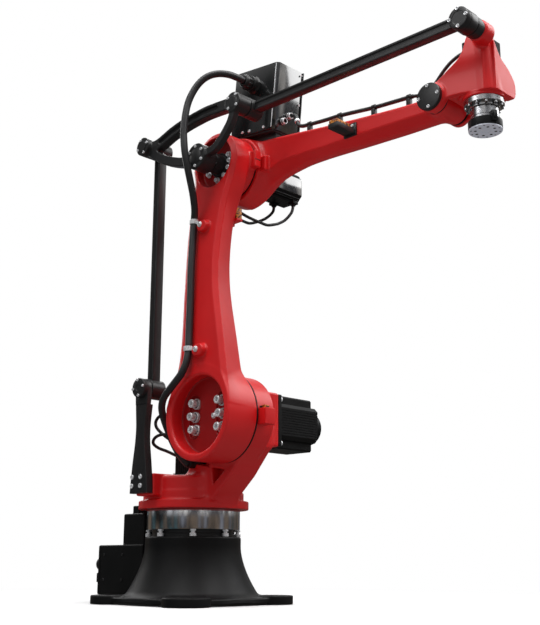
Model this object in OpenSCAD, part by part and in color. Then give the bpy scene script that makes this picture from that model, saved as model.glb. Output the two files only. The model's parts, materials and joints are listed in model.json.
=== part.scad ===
// Four-axis level-wrist handling arm. +X reach, +Z up, -Y the link side.
// Origin: centre of the base on the floor. Millimetres.

/* [Base] */
// Distance between anchor hole centres, both ways
anchor_pitch = 280; // [276:1:284]
// Anchor hole diameter
anchor_d = 18; // [14:1:20]
// Radius of a foot pad
pad_r = 57; // [50:1:60]
// Height of a foot pad
pad_h = 22; // [20:0.5:24]
// Radius of the pedestal below the slewing ring
ped_r = 122; // [119:1:126]

/* [Slewing ring] */
// Radius of the polished reducer ring
ring_r = 119; // [115:1:121]
// Radius of the turntable flange
flange_r = 141; // [136:1:143]

/* [Arm] */
// Shoulder axis, distance in front of the slewing axis
sh_x = 195; // [195:1:195]
// Shoulder axis height
sh_z = 444; // [444:1:444]
// Lower arm length between axes
arm_l = 650; // [650:1:650]
// Forearm reach from elbow axis to wrist axis, level part
fore_x = 627; // [627:1:627]
// Forearm drop from elbow axis to wrist axis
fore_z = -10; // [-10:1:-10]

/* [Links] */
// Side of the square link bar
bar_w = 23; // [20:1:25]
// Radius of the link eyes and caps
eye_r = 25; // [24:0.5:26]

/* [Tool flange] */
// Radius of the tool plate
tool_r = 36.5; // [35:0.5:38]
// Bolt circle diameter of the tool plate
tool_pcd = 44; // [40:1:46]
// Hole diameter of the tool plate
tool_hole = 6; // [5:0.5:6.5]

/* [Hidden] */
$fn = 72;
S = [sh_x, sh_z];
E = [sh_x, sh_z + arm_l];
W = E + [fore_x, fore_z];
LB = [-205, 85];            // rear link offset
TO = [131, 106];            // front link offset
B = S + LB;
L = E + LB;
T = E + TO;
H = W + TO;
red = "#c81418"; blk = "#1d1d1f"; steel = "#b9bcc0";

// Round bar along Y between two stations
module ycyl(c, r, y0, y1) { translate([c[0], y1, c[1]]) rotate([90, 0, 0]) cylinder(r = r, h = y1 - y0); }
// Plate of an XZ outline between two stations
module yplate(pts, y0, y1) { translate([0, y1, 0]) rotate([90, 0, 0]) linear_extrude(y1 - y0) polygon(pts); }
// Box between two corners
module box(a, b) { translate(a) cube(b - a); }
// Upright round bar
module zcyl(x, y, r, z0, z1) { translate([x, y, z0]) cylinder(r = r, h = z1 - z0); }

// Swept tube along a route
function unit(v) = v / norm(v);
function tang(p, i) = let (n = len(p)) unit(p[min(i + 1, n - 1)] - p[max(i - 1, 0)]);
// a: a direction that the route never follows
module tube(p, r, k, a) {
  n = len(p);
  pts = [for (i = [0 : n - 1]) let (t = tang(p, i), u = unit(cross(t, a)), v = cross(t, u)) for (j = [0 : k - 1]) p[i] + r * (cos(360 * j / k) * u + sin(360 * j / k) * v)];
  faces = concat([[for (j = [0 : k - 1]) j]], [[for (j = [0 : k - 1]) (n - 1) * k + k - 1 - j]],
    [for (i = [0 : n - 2]) for (j = [0 : k - 1]) for (q = [0, 1]) let (a = i * k + j, b = i * k + (j + 1) % k, c = a + k, d = b + k) q == 0 ? [a, c, b] : [b, c, d]]);
  polyhedron(pts, faces, convexity = 6);
}

// ---- base ----
function flare(z) = ped_r + (z < 140 ? 0.0139 * pow(140 - z, 1.7) : 0);
module flare_solid(g = 0) { rotate_extrude($fn = 96) polygon(concat([[0, 10], [flare(16) + g, 10]], [for (z = [16 : 8 : 136]) [flare(z) + g, z]], [[ped_r + g, 160], [ped_r - 4 + g, 164], [0, 164]])); }
module base_pedestal() {
  a = anchor_pitch / 2;
  color(blk) difference() {
    union() {
      flare_solid();
      translate([-178, -178, 4]) cube([356, 356, 13]);
      for (x = [-a, a]) for (y = [-a, a]) zcyl(x, y, pad_r, 0, pad_h);
    }
    for (x = [-a, a]) for (y = [-a, a]) zcyl(x, y, anchor_d / 2, -1, pad_h + 1);
  }
}
module ring_seat() { color(blk) zcyl(0, 0, 106, 164, 181); }
module reducer_ring() { color(steel) rotate_extrude($fn = 128) polygon([[0, 181], [ring_r - 1.5, 181], [ring_r, 182.5], [ring_r, 230], [ring_r - 1.5, 231.5], [0, 231.5]]); }
module ring_bolts() { color(steel) for (k = [0 : 7]) rotate(3.5 + 45 * k) zcyl(113, 0, 5.5, 164, 181, $fn = 32); }
module rear_box() {
  color(blk) difference() {
    union() {
      box([-283, -88, 19], [-100, 88, 146]);
      box([-181, -88, 140], [-90, 88, 225]);
      box([-176, -60, 220], [-151, 5, 247]);
    }
    flare_solid(0.0);
    zcyl(0, 0, 126, 163.9, 230);
    for (y = [-140, 140]) zcyl(-140, y, pad_r + 1, -1, 24);
  }
}
module rear_connectors() {
  color(blk) {
    translate([-298, -66, 97]) rotate([0, 90, 0]) cylinder(r = 17, h = 15);
    box([-292, -84, 50], [-283, -48, 74]);
    translate([-298, 20, 97]) rotate([0, 90, 0]) cylinder(r = 17, h = 15);
    box([-292, 2, 50], [-283, 38, 74]);
  }
}

// ---- turntable ----
module turntable_casting() {
  color(red) difference() {
    union() {
      difference() {
        zcyl(0, 0, flange_r, 232, 253, $fn = 128);
        for (k = [0 : 3]) rotate(90 * k) box([flange_r - 2, -60, 230], [flange_r + 10, 60, 255]);
      }
      zcyl(0, 0, 128, 250, 276, $fn = 128);
      difference() { zcyl(0, 0, 126, 260, 312, $fn = 128); box([-140, 60, 250], [140, 140, 330]); }
      box([-46, -153, 262], [22, -90, 316]);
      yplate([[45, 260], [140, 260], [262, 372], [195, 444], [96, 404], [52, 330], [45, 312]], -66, 20);
      ycyl(S, 105, -71.5, -10);
      box([S[0] - 67, -20, S[1] - 67], [S[0] + 67, 45, S[1] + 67]);
    }
    // web pocket in front of the drum
    yplate([[138, 329], [185, 321], [143, 286]], -80, -36);
  }
}
module link_bracket() {
  color(blk) union() {
    yplate([[-46, 267], [-43, 300], [-38, 345], [-31, 392], [-29, 430], [-31, 460], [-33, 490], [13, 490], [9, 460], [6, 430], [7, 392], [14, 345], [20, 300], [22, 267]], -174, -153);
    yplate([[-33, 490], [-35, 529], [15, 529], [13, 490]], -174, -160);
    ycyl(B, eye_r, -186, -160);
    // pin of the rear link
    ycyl(B, 12, -162, -132);
  }
}
module bracket_bolts() { color(steel) for (x = [-36, -3]) for (z = [285, 307]) ycyl([x, z], 6, -176.5, -174, $fn = 32); }
module motor_body(c, w, ch, y0, y1) {
  h = w / 2;
  yplate([for (p = [[h, h - ch], [h - ch, h], [ch - h, h], [-h, h - ch], [-h, ch - h], [ch - h, -h], [h - ch, -h], [h, ch - h]]) c + p], y0, y1);
}
module shoulder_motor() {
  color(blk) union() {
    box([S[0] - 65, 45, S[1] - 65], [S[0] + 65, 57, S[1] + 65]);
    // two crossed blocks leave the four corners open for the flange bolts
    yplate([for (p = [[63, 35], [53, 45], [-53, 45], [-63, 35], [-63, -35], [-53, -45], [53, -45], [63, -35]]) S + p], 57, 192);
    box([S[0] - 45, 57, S[1] - 67], [S[0] + 45, 186, S[1] + 67]);
    ycyl(S, 42, 192, 233);
    ycyl(S, 32, 233, 239);
  }
}
module waist_motor() {
  color(blk) union() {
    box([-43, -43, 312], [43, 43, 322]);
    box([-40, -40, 322], [40, 40, 374]);
    box([-31, -31, 374], [31, 31, 386]);
    ycyl([11, 362], 8, -52, -39);
  }
}
module shoulder_stop() {
  color(red) difference() { box([280, -70, 430], [326, -38, 455]); ycyl(S, 105, -90, 0); }
}
module waist_glands() {
  color(blk) {
    ycyl([70, 342], 14, -84, -66);
    ycyl([88, 362], 7, -78, -66);
    ycyl([98, 346], 7, -78, -66);
    translate([78, -30, 440]) rotate([0, 90, 0]) cylinder(r = 8, h = 14);
  }
}
cableA = [[78, -30, 440], [62, -42, 447], [44, -68, 458], [22, -100, 467], [2, -120, 463], [-10, -125, 449], [-6, -124, 432], [6, -110, 414], [26, -99, 398], [54, -97, 380], [78, -97, 366], [87, -88, 362], [88, -78, 362]];
cableB = [[98, -78, 346], [97, -90, 349], [84, -101, 372], [56, -101, 400], [26, -103, 411], [4, -119, 409], [-12, -127, 402], [-8, -126, 391], [7, -100, 379], [11, -74, 366], [11, -52, 362]];
module waist_cables() { color(blk) { tube(cableA, 4, 8, [1, -1, 0]); tube(cableB, 4, 8, [1, -1, 0]); } }

// ---- lower arm ----
function yf(z) = -171 + (z - 444) * 41 / 650;
armR = [[295, 505], [291, 526], [281, 564], [270, 614], [258, 665], [245, 718], [235, 771], [231, 824], [233, 876], [239, 928], [247, 980], [261, 1020], [273, 1060]];
armL = [[125, 1060], [126, 1037], [119, 1000], [115, 957], [112, 903], [112, 849], [113, 795], [114, 742], [116, 689], [118, 637], [116, 586], [112, 562], [99, 505]];
module arm_slab(d, y0, y1) { yplate(concat([for (p = armR) p - [d, 0]], [for (p = armL) p + [d * 0.4, 0]]), y0, y1); }
module lower_arm_casting() {
  color(red) difference() {
    union() {
      difference() {
        union() {
          arm_slab(0, -176, -126);
          arm_slab(9, -128, -102);
          arm_slab(18, -104, -77);
        }
        // sloping front face
        translate([0, yf(444), 444]) rotate([atan2(-41, 650), 0, 0]) translate([0, -100, 0]) box([0, 0, -60], [400, 100, 700]);
      }
      ycyl(S, 112, -171, -74.5);
      ycyl(E, 81, -130, -54.5);
      // zero mark lug
      box([255, -75, 1074], [294, -55, 1118]);
      // clamp bosses
      for (q = [[185, 922], [203, 598]]) ycyl(q, 17, yf(q[1]) - 10, -120);
    }
    ycyl(S, 93, -180, -132);
    ycyl(E, 69, -140, -104);
    // shaft bore of the rocker seat
    ycyl(E, 14.05, -110, -78);
  }
}
module cap_screw(c, y, r, h, wr) { ycyl(c, wr, y - 3, y, $fn = 32); ycyl(c, r, y - 3 - h, y - 3, $fn = 32); }
module arm_bolts() {
  color(steel) {
    for (s = [-1, 1]) for (p = [[46, 32], [50, 0], [46, -32]]) cap_screw(S + [s * p[0], p[1]], -132, 10, 13, 13.5);
    cap_screw(S + [22, -3], -132, 4.5, 4, 6.5);
    for (a = [-36, 0, 36, 144, 180, 216, 270]) cap_screw(E + 52 * [cos(a), sin(a)], -104, 7, 9, 9.5);
  }
}
module rocker_seat() { color(blk) { ycyl(E, 38, -138, -104); ycyl(E, 14, -186, -138); ycyl(E, 14, -104, -80); } }
module hose_clamps() {
  color(steel) for (q = [[151, 938, 177], [164, 605, 195]]) difference() {
    union() { translate([q[0], yf(q[1]) - 11, q[1] - 6]) cylinder(r = 12, h = 12); box([q[0] + 8, yf(q[1]) - 14, q[1] - 10], [q[2] + 6, yf(q[1]) - 9, q[1] + 5]); ycyl([q[2], q[1] - 5], 6, yf(q[1]) - 20, yf(q[1]) - 14, $fn = 32); }
    translate([q[0], yf(q[1]) - 11, q[1] - 7]) cylinder(r = 9.4, h = 14);
  }
}
module elbow_bumper() { color("#d98a12") box([188, -77, 950], [222, -56, 990]); }
hoseA = [[262, -90, 1315], [258, -110, 1318], [250, -131, 1321], [235, -152, 1321], [219, -170, 1314], [204, -184, 1299], [191, -196, 1274], [181, -206, 1239], [177, -212, 1196], [176, -214, 1150]];
hoseB = [[176, -214, 1147], [179, -212, 1108], [180, -204, 1070], [178, -191, 1034], [172, -175, 1000], [161, -159, 968], [151, -151, 946]];
hoseC = [[151, -151, 946], [151, -152, 928], [152, -156, 870], [154, -160, 810], [157, -163, 730], [160, -167, 655], [164, -171, 615], [164, -172, 596]];
hoseD = [[164, -172, 596], [162, -176, 570], [149, -182, 543], [121, -186, 520], [88, -184, 497], [66, -172, 477], [53, -150, 456], [45, -130, 434], [45, -121, 405], [55, -115, 374], [65, -107, 351], [70, -96, 342], [70, -84, 342]];
module arm_hose() { color(blk) tube(hoseC, 9, 10, [1, 0, 0]); }
module shoulder_hose() { color(blk) tube(hoseD, 9, 10, [1, 1, 0]); }
module rocker_hose() { color(blk) tube(hoseB, 9, 10, [1, 0, 0]); }
module box_hose() { color(blk) tube(hoseA, 9, 10, [1, 0, 0]); }
// elbow motor leads: upper half, lower half
lead1 = [[174, 115, 1044], [173, 111, 1028], [166, 93, 1008], [161, 72, 995]];
lead1b = [[160, 68, 993], [156, 42, 983], [157, 17, 982], [166, -6, 980], [184, -30, 975], [199, -55, 970]];
lead2 = [[216, 147, 1044], [214, 142, 1024], [205, 126, 1001], [197, 108, 988]];
lead2b = [[196, 105, 987], [186, 80, 980], [180, 56, 983], [173, 28, 989], [172, 0, 994], [178, -28, 997], [186, -54, 999], [190, -76, 999]];
module motor_cables() { color(blk) { tube(lead1, 4, 8, [1, 0, 0]); tube(lead2, 4, 8, [1, 0, 0]); } }
module elbow_cables() { color(blk) { tube(lead1b, 4, 8, [0, 0, 1]); tube(lead2b, 4, 8, [0, 0, 1]); } }

// ---- links ----
module bar_y(p, q, y, w) { d = q - p; a = atan2(d[1], d[0]); translate([p[0], y, p[1]]) rotate([0, -a, 0]) translate([0, -w / 2, -w / 2]) cube([norm(d), w, w]); }
module vertical_link() {
  color(blk) difference() {
    union() {
      bar_y(B + [0, 20], L - [0, 20], -136, bar_w);
      ycyl(B, eye_r, -158, -114); ycyl(L, eye_r, -158, -114);
    }
    ycyl(B, 12.05, -170, -130);
    ycyl(L, 12.05, -170, -130);
  }
}
module upper_link() {
  d = unit(H - T);
  color(blk) difference() {
    union() {
      bar_y(T + 20 * d, H - 20 * d, -122, bar_w);
      ycyl(T, eye_r, -144, -100); ycyl(H, 24, -143, -100);
    }
    ycyl(T, 12.05, -160, -111);
    ycyl(H, 12.05, -130, -90);
  }
}
archT = [[-10, 1190], [35, 1190], [88, 1206], [136, 1217], [179, 1221], [221, 1221], [266, 1217], [310, 1212], [326, 1212]];
archB = [[326, 1186], [310, 1187], [282, 1190], [244, 1192], [207, 1190], [168, 1186], [122, 1180], [73, 1171], [20, 1160], [-10, 1160]];
module rocker() {
  color(blk) difference() {
    union() {
      yplate(concat(archT, archB), -187, -163);
      yplate([[0, 1172], [50, 1146], [104, 1118], [150, 1104], [175, 1102], [178, 1080], [152, 1084], [117, 1096], [76, 1115], [20, 1146]], -187, -163);
      yplate([[210, 1105], [228, 1103], [246, 1110], [275, 1124], [297, 1143], [309, 1166], [313, 1190], [340, 1190], [337, 1168], [323, 1142], [300, 1116], [275, 1098], [240, 1083], [210, 1082]], -187, -163);
      ycyl(E, 34, -190, -146);
      ycyl(L, eye_r, -200, -160);
      ycyl(T, eye_r, -188, -146);
      // pins of the two links
      ycyl(L, 12, -162, -132);
      ycyl(T, 12, -150, -113);
    }
    ycyl(E, 14.05, -187, -140);
  }
}

// ---- forearm ----
foT = [[215, 1171], [269, 1160], [341, 1152], [410, 1143], [477, 1134], [602, 1118], [719, 1106], [767, 1101], [815, 1108]];
foB1 = [[822, 1055], [713, 1054], [596, 1059], [470, 1066], [404, 1067], [335, 1057], [282, 1042], [242, 1020]];
foB2 = [[822, 1059], [715, 1062], [612, 1067], [472, 1072], [407, 1075], [338, 1070], [294, 1059], [258, 1036]];
foB3 = [[815, 1066], [718, 1071], [631, 1075], [476, 1079], [410, 1083], [341, 1083], [305, 1075], [277, 1057]];
// seat of the elbow box, tilted with the top of the casting
module box_frame() { translate([173, 0, 1172]) rotate([0, 6.4, 0]) children(); }
module forearm_casting() {
  color(red) difference() {
    union() {
      yplate(concat(foT, foB1), -13, 13);
      yplate(concat(foT, foB2), -25, 25);
      yplate(concat(foT, foB3), -36, 36);
      ycyl(E, 88, -52, 18);
      ycyl(W, 31, -38, 38);
      box_frame() box([24, -32, -40], [150, 32, 17]);
      // zero mark lug
      box([270, -50, 1069], [304, -30, 1108]);
    }
    ycyl(W, 12.05, -60, 60);
    // seat of the elbow motor
    box([148, 18, 1047], [242, 60, 1141]);
  }
}
module elbow_box() { color(blk) box_frame() box([0, -50, 17], [158, 46, 200]); }
module box_gland() { color(blk) { ycyl([262, 1315], 22, -68, -50); ycyl([262, 1315], 17, -90, -68); } }
module box_connectors() { color(steel) box_frame() for (q = [[-20, 45], [0, 65]]) translate([158, q[0], q[1]]) rotate([0, 90, 0]) cylinder(r = 9, h = 14); }
module elbow_motor() {
  c = [195, 1094];
  color(blk) union() { box([c[0] - 45, 18, c[1] - 45], [c[0] + 45, 30, c[1] + 45]); motor_body(c, 84, 18, 30, 158); motor_body(c, 74, 16, 158, 164); zcyl(174, 115, 9, 1044, 1070); zcyl(216, 147, 9, 1044, 1070); }
}
fcab = [[354, 0, 1216], [363, -1, 1213], [370, -3, 1205], [374, -5, 1193], [381, -7, 1180], [396, -9, 1171], [422, -10, 1167], [470, -10, 1162], [521, -10, 1158], [574, -10, 1151], [626, -10, 1144], [680, -10, 1139], [728, -10, 1135], [738, -10, 1134]];
module forearm_cable() { color(blk) tube(fcab, 5, 10, [0, 1, 0]); }
module cable_clips() { color(blk) for (q = [[422, 1137, 1167], [521, 1127, 1158], [626, 1115, 1144], [728, 1105, 1135]]) box([q[0] - 6, -17, q[1] - 3], [q[0] + 6, -3, q[2] - 5]); }
module stop_arm() { color(blk) box([560, -101, 1080], [590, -36, 1092]); }
module stop_pad() { color("#d98a12") box([562, -100, 1092], [588, -50, 1100]); }

// ---- wrist ----
module wrist_head_casting() {
  color(red) difference() {
    union() {
      // front web and its rounded corner
      yplate([[858, 1078], [944, 1078], [944, 1196], [930, 1206], [919, 1212], [908, 1199], [899, 1174], [885, 1155], [862, 1139], [846, 1128]], -44, -33);
      zcyl(944, -22, 22, 1066, 1196);
      // side web
      translate([950, 0, 0]) rotate([90, 0, 90]) linear_extrude(16) polygon([[-30, 1066], [-30, 1186], [-22, 1160], [-8, 1144], [12, 1128], [34, 1114], [45, 1098], [45, 1072], [38, 1066]]);
      box([880, -44, 1078], [960, 45, 1094]);
      zcyl(917, 0, 47.5, 1064, 1080);
      // wrist ear
      ycyl(W, 31, -62, -43.5);
      yplate([[822, 1053], [848, 1058], [877, 1068], [910, 1078], [910, 1160], [891, 1148], [864, 1132], [838, 1120], [822, 1115]], -56, -43.5);
      // knuckle of the upper link
      ycyl(H, 24, -73, -33);
      // far ear and its arm
      ycyl(W, 31, 43.5, 58);
      yplate([[822, 1053], [850, 1058], [900, 1070], [900, 1095], [845, 1112], [822, 1115]], 43.5, 51.5);
    }
    ycyl(W, 12.05, -80, 80);
    // room round the end of the forearm
    ycyl(W, 37, -43.4, 43.4);
    // room for the motor
    box([880, -33, 1094], [950, 60, 1230]);
  }
}
module wrist_caps() { color(blk) { ycyl(W, 31, -71, -62); ycyl(W, 12, -62, 59); ycyl(W, 20, 58, 61); ycyl(H, 20, -98, -73); ycyl(H, 12, -129, -98); } }
module wrist_motor() { color(blk) union() { box([887, -30, 1094], [947, 30, 1192]); zcyl(917, 0, 24, 1192, 1208); } }
module wrist_reducer() { color(steel) union() { zcyl(917, 0, 42, 1052, 1064); zcyl(917, 0, 35, 1045, 1058); } }
wcab = [[741, -10, 1133], [770, -10, 1128], [790, -10, 1135], [806, -10, 1148], [824, -10, 1165], [842, -9, 1179], [862, -8, 1188], [879, -6, 1192], [886, -6, 1192]];
module wrist_cable() { color(blk) tube(wcab, 4, 8, [0, 1, 0]); }
module flange_neck() { color(steel) zcyl(917, 0, 27.5, 1016, 1044.5); }
module flange_ring() { color(blk) zcyl(917, 0, 36, 1001, 1016); }
module tool_plate() {
  color("#a9a9b4") difference() {
    zcyl(917, 0, tool_r, 994, 1001);
    for (k = [0 : 7]) rotate(0) translate([917 + tool_pcd / 2 * cos(45 * k), tool_pcd / 2 * sin(45 * k), 990]) cylinder(r = tool_hole / 2, h = 20, $fn = 32);
  }
}

base_pedestal();
ring_seat();
reducer_ring();
ring_bolts();
rear_box();
rear_connectors();
turntable_casting();
link_bracket();
bracket_bolts();
shoulder_motor();
waist_motor();
shoulder_stop();
waist_glands();
waist_cables();
lower_arm_casting();
arm_bolts();
rocker_seat();
hose_clamps();
elbow_bumper();
arm_hose();
shoulder_hose();
rocker_hose();
elbow_cables();
vertical_link();
rocker();
upper_link();
forearm_casting();
elbow_box();
box_gland();
box_connectors();
elbow_motor();
forearm_cable();
cable_clips();
stop_arm();
stop_pad();
box_hose();
motor_cables();
wrist_head_casting();
wrist_caps();
wrist_motor();
wrist_reducer();
wrist_cable();
flange_neck();
flange_ring();
tool_plate();
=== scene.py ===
import json
import math
import bpy
import bmesh
import numpy as np
from mathutils import Vector, Matrix


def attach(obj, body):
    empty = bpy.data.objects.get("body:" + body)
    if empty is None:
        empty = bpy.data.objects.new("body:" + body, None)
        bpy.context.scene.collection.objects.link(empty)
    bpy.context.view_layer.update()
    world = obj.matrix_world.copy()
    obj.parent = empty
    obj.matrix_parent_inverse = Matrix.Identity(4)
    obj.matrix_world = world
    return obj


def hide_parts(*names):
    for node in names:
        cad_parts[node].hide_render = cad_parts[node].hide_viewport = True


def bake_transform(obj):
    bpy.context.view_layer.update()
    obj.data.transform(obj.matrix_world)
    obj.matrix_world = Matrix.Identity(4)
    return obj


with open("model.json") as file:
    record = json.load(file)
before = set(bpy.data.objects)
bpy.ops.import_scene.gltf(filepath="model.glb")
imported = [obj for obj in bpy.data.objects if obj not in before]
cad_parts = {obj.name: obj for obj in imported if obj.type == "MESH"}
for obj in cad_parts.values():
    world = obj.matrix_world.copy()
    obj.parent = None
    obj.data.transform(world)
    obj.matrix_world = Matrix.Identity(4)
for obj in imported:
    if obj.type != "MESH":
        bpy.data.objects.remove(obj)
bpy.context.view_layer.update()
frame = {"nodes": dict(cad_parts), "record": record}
N = frame["nodes"]
MM = 0.001

# ---------------------------------------------------------------- camera
A, TH, RO = 0.777581056, 0.2470306238, 0.0027962449
V0 = Vector((-math.sin(A), math.cos(A), 0))
R0 = Vector((math.cos(A), math.sin(A), 0))
Z0 = Vector((0, 0, 1))
FW = V0 * math.cos(TH) + Z0 * math.sin(TH)
UP = -V0 * math.sin(TH) + Z0 * math.cos(TH)
RR = R0 * math.cos(RO) + UP * math.sin(RO)
UU = -R0 * math.sin(RO) + UP * math.cos(RO)
cam_data = bpy.data.cameras.new("camera")
cam = bpy.data.objects.new("camera", cam_data)
bpy.context.scene.collection.objects.link(cam)
m = Matrix.Identity(4)
for i in range(3):
    m[i][0], m[i][1], m[i][2] = RR[i], UU[i], -FW[i]
m[0][3], m[1][3], m[2][3] = 1.9674787, -1.7207629, 0.0994936
cam.matrix_world = m
cam_data.lens = 995.47713 / 625.0 * 36.0
cam_data.sensor_width = 36.0
cam_data.clip_start, cam_data.clip_end = 0.05, 200.0
bpy.context.scene.camera = cam

# ---------------------------------------------------------------- key points, millimetres
S = (195.0, 444.0)
E = (195.0, 1094.0)
B = (-10.0, 529.0)
L = (-10.0, 1179.0)
T = (326.0, 1200.0)
W = (822.0, 1084.0)
H = (953.0, 1190.0)


# ---------------------------------------------------------------- materials
def new_mat(name):
    mat = bpy.data.materials.new(name)
    mat.use_nodes = True
    nt = mat.node_tree
    nt.nodes.clear()
    out = nt.nodes.new("ShaderNodeOutputMaterial")
    bs = nt.nodes.new("ShaderNodeBsdfPrincipled")
    nt.links.new(bs.outputs["BSDF"], out.inputs["Surface"])
    return mat, nt, bs


def node(nt, kind, **k):
    n = nt.nodes.new(kind)
    for a, b in k.items():
        setattr(n, a, b)
    return n


def noise(nt, scale, detail=3.0, rough=0.55, stretch=None):
    tc = node(nt, "ShaderNodeTexCoord")
    src = tc.outputs["Object"]
    if stretch:
        mp = node(nt, "ShaderNodeMapping")
        mp.inputs["Scale"].default_value = stretch
        nt.links.new(src, mp.inputs["Vector"])
        src = mp.outputs["Vector"]
    n = node(nt, "ShaderNodeTexNoise")
    n.inputs["Scale"].default_value = scale
    n.inputs["Detail"].default_value = detail
    n.inputs["Roughness"].default_value = rough
    nt.links.new(src, n.inputs["Vector"])
    return n


def ramp(nt, fac, stops, interp="LINEAR"):
    r = node(nt, "ShaderNodeValToRGB")
    r.color_ramp.interpolation = interp
    el = r.color_ramp.elements
    while len(el) < len(stops):
        el.new(0.5)
    for e, (p, c) in zip(el, stops):
        e.position = p
        e.color = (*c, 1.0) if len(c) == 3 else c
    nt.links.new(fac, r.inputs["Fac"])
    return r


def maprange(nt, val, a, b, c, d):
    n = node(nt, "ShaderNodeMapRange")
    for i, v in enumerate((a, b, c, d)):
        n.inputs[i + 1].default_value = v
    nt.links.new(val, n.inputs[0])
    return n.outputs[0]


def bump(nt, bs, height, strength, dist, prev=None):
    b = node(nt, "ShaderNodeBump")
    b.inputs["Strength"].default_value = strength
    b.inputs["Distance"].default_value = dist
    nt.links.new(height, b.inputs["Height"])
    if prev is not None:
        nt.links.new(prev.outputs["Normal"], b.inputs["Normal"])
    nt.links.new(b.outputs["Normal"], bs.inputs["Normal"])
    return b


def paint(name, c0, c1, rough, spread, peel=420.0, peel_s=0.05, coat=0.0, coat_r=0.1, edge=None, spec=0.5, wave=0.012, ior=1.5):
    mat, nt, bs = new_mat(name)
    n1 = noise(nt, 9.0, 4.0)
    col = ramp(nt, n1.outputs["Fac"], [(0.3, c0), (0.7, c1)])
    last = col.outputs["Color"]
    # optional tint toward the edge colour on convex edges (Pointiness): edge wear and painted edge highlight together
    if edge:
        g = node(nt, "ShaderNodeNewGeometry")
        w = noise(nt, 60.0, 5.0, 0.7)
        ad = node(nt, "ShaderNodeMath", operation="MULTIPLY_ADD")
        nt.links.new(w.outputs["Fac"], ad.inputs[0])
        ad.inputs[1].default_value = 0.05
        nt.links.new(g.outputs["Pointiness"], ad.inputs[2])
        k = maprange(nt, ad.outputs[0], 0.545, 0.60, 0.0, 1.0)
        mx = node(nt, "ShaderNodeMix", data_type="RGBA")
        nt.links.new(k, mx.inputs[0])
        nt.links.new(last, mx.inputs[6])
        mx.inputs[7].default_value = (*edge, 1.0)
        last = mx.outputs[2]
    nt.links.new(last, bs.inputs["Base Color"])
    n2 = noise(nt, 30.0, 4.0, 0.6)
    nt.links.new(maprange(nt, n2.outputs["Fac"], 0.25, 0.75, rough - spread, rough + spread), bs.inputs["Roughness"])
    n3 = noise(nt, peel, 2.0)
    b1 = bump(nt, bs, n3.outputs["Fac"], peel_s, 0.0006)
    n4 = noise(nt, 22.0, 2.0)
    bump(nt, bs, n4.outputs["Fac"], wave, 0.004, b1)
    bs.inputs["Coat Weight"].default_value = coat
    bs.inputs["Coat Roughness"].default_value = coat_r
    bs.inputs["Specular IOR Level"].default_value = spec
    bs.inputs["IOR"].default_value = ior
    return mat


def metal(name, c0, c1, rough, spread, stretch=(1, 1, 60), scale=18.0, bs_s=0.004, metallic=1.0):
    mat, nt, bs = new_mat(name)
    n1 = noise(nt, scale, 5.0, 0.6, stretch)
    col = ramp(nt, n1.outputs["Fac"], [(0.25, c0), (0.75, c1)])
    nt.links.new(col.outputs["Color"], bs.inputs["Base Color"])
    nt.links.new(maprange(nt, n1.outputs["Fac"], 0.25, 0.75, rough - spread, rough + spread), bs.inputs["Roughness"])
    bump(nt, bs, n1.outputs["Fac"], bs_s, 0.0004)
    bs.inputs["Metallic"].default_value = metallic
    return mat


M = {}
M["red"] = paint("red_enamel", (0.66, 0.007, 0.009), (0.72, 0.010, 0.012), 0.38, 0.04, peel=260.0, peel_s=0.02, coat=0.12, coat_r=0.25, spec=0.4)
# same red enamel made darker: painted shade for the insides of recesses
M["red_painted_shade"] = paint("red_recess_painted_shade", (0.30, 0.004, 0.005), (0.36, 0.005, 0.007), 0.40, 0.05, peel=260.0, peel_s=0.02, spec=0.3)
M["cast"] = paint("black_cast_paint", (0.006, 0.006, 0.0063), (0.009, 0.009, 0.0094), 0.44, 0.05, peel=520.0, peel_s=0.05, spec=0.15)
M["black"] = paint("black_link_paint", (0.017, 0.017, 0.0176), (0.024, 0.024, 0.0248), 0.36, 0.04, peel=480.0, peel_s=0.03, spec=0.4)
M["motor"] = paint("motor_enamel", (0.006, 0.0065, 0.0068), (0.010, 0.0105, 0.011), 0.40, 0.04, peel=520.0, peel_s=0.03, spec=0.2)
M["sheet"] = paint("box_gloss_black", (0.006, 0.0068, 0.0072), (0.009, 0.010, 0.0105), 0.115, 0.012, peel=120.0, peel_s=0.002, spec=0.85, wave=0.0015, ior=2.0)
M["plastic"] = paint("moulded_black", (0.011, 0.011, 0.011), (0.017, 0.017, 0.017), 0.46, 0.06, peel=900.0, peel_s=0.12)
M["rubber"] = paint("hose_sheath", (0.016, 0.016, 0.0175), (0.026, 0.026, 0.028), 0.44, 0.06, peel=800.0, peel_s=0.10)
M["steel"] = metal("turned_steel", (0.56, 0.57, 0.59), (0.64, 0.65, 0.67), 0.17, 0.03, bs_s=0.0015)
M["gear"] = metal("gear_face_steel", (0.52, 0.53, 0.55), (0.62, 0.63, 0.65), 0.26, 0.04, bs_s=0.002)
M["bright"] = metal("plated_screw", (0.74, 0.75, 0.77), (0.90, 0.91, 0.93), 0.28, 0.06, stretch=(1, 1, 1), scale=120.0, bs_s=0.03, metallic=0.35)
M["plate"] = metal("anodised_plate", (0.66, 0.68, 0.77), (0.72, 0.74, 0.83), 0.42, 0.06, stretch=(1, 1, 1), scale=90.0, metallic=0.12)


def amber():
    mat, nt, bs = new_mat("amber_urethane")
    n = noise(nt, 190.0, 3.0, 0.6)
    col = ramp(nt, n.outputs["Fac"], [(0.40, (0.02, 0.012, 0.01)), (0.48, (0.42, 0.10, 0.01)), (0.62, (0.80, 0.34, 0.03)), (0.75, (0.62, 0.12, 0.02))])
    nt.links.new(col.outputs["Color"], bs.inputs["Base Color"])
    nt.links.new(maprange(nt, n.outputs["Fac"], 0.2, 0.8, 0.3, 0.5), bs.inputs["Roughness"])
    bump(nt, bs, n.outputs["Fac"], 0.2, 0.001)
    return mat


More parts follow.
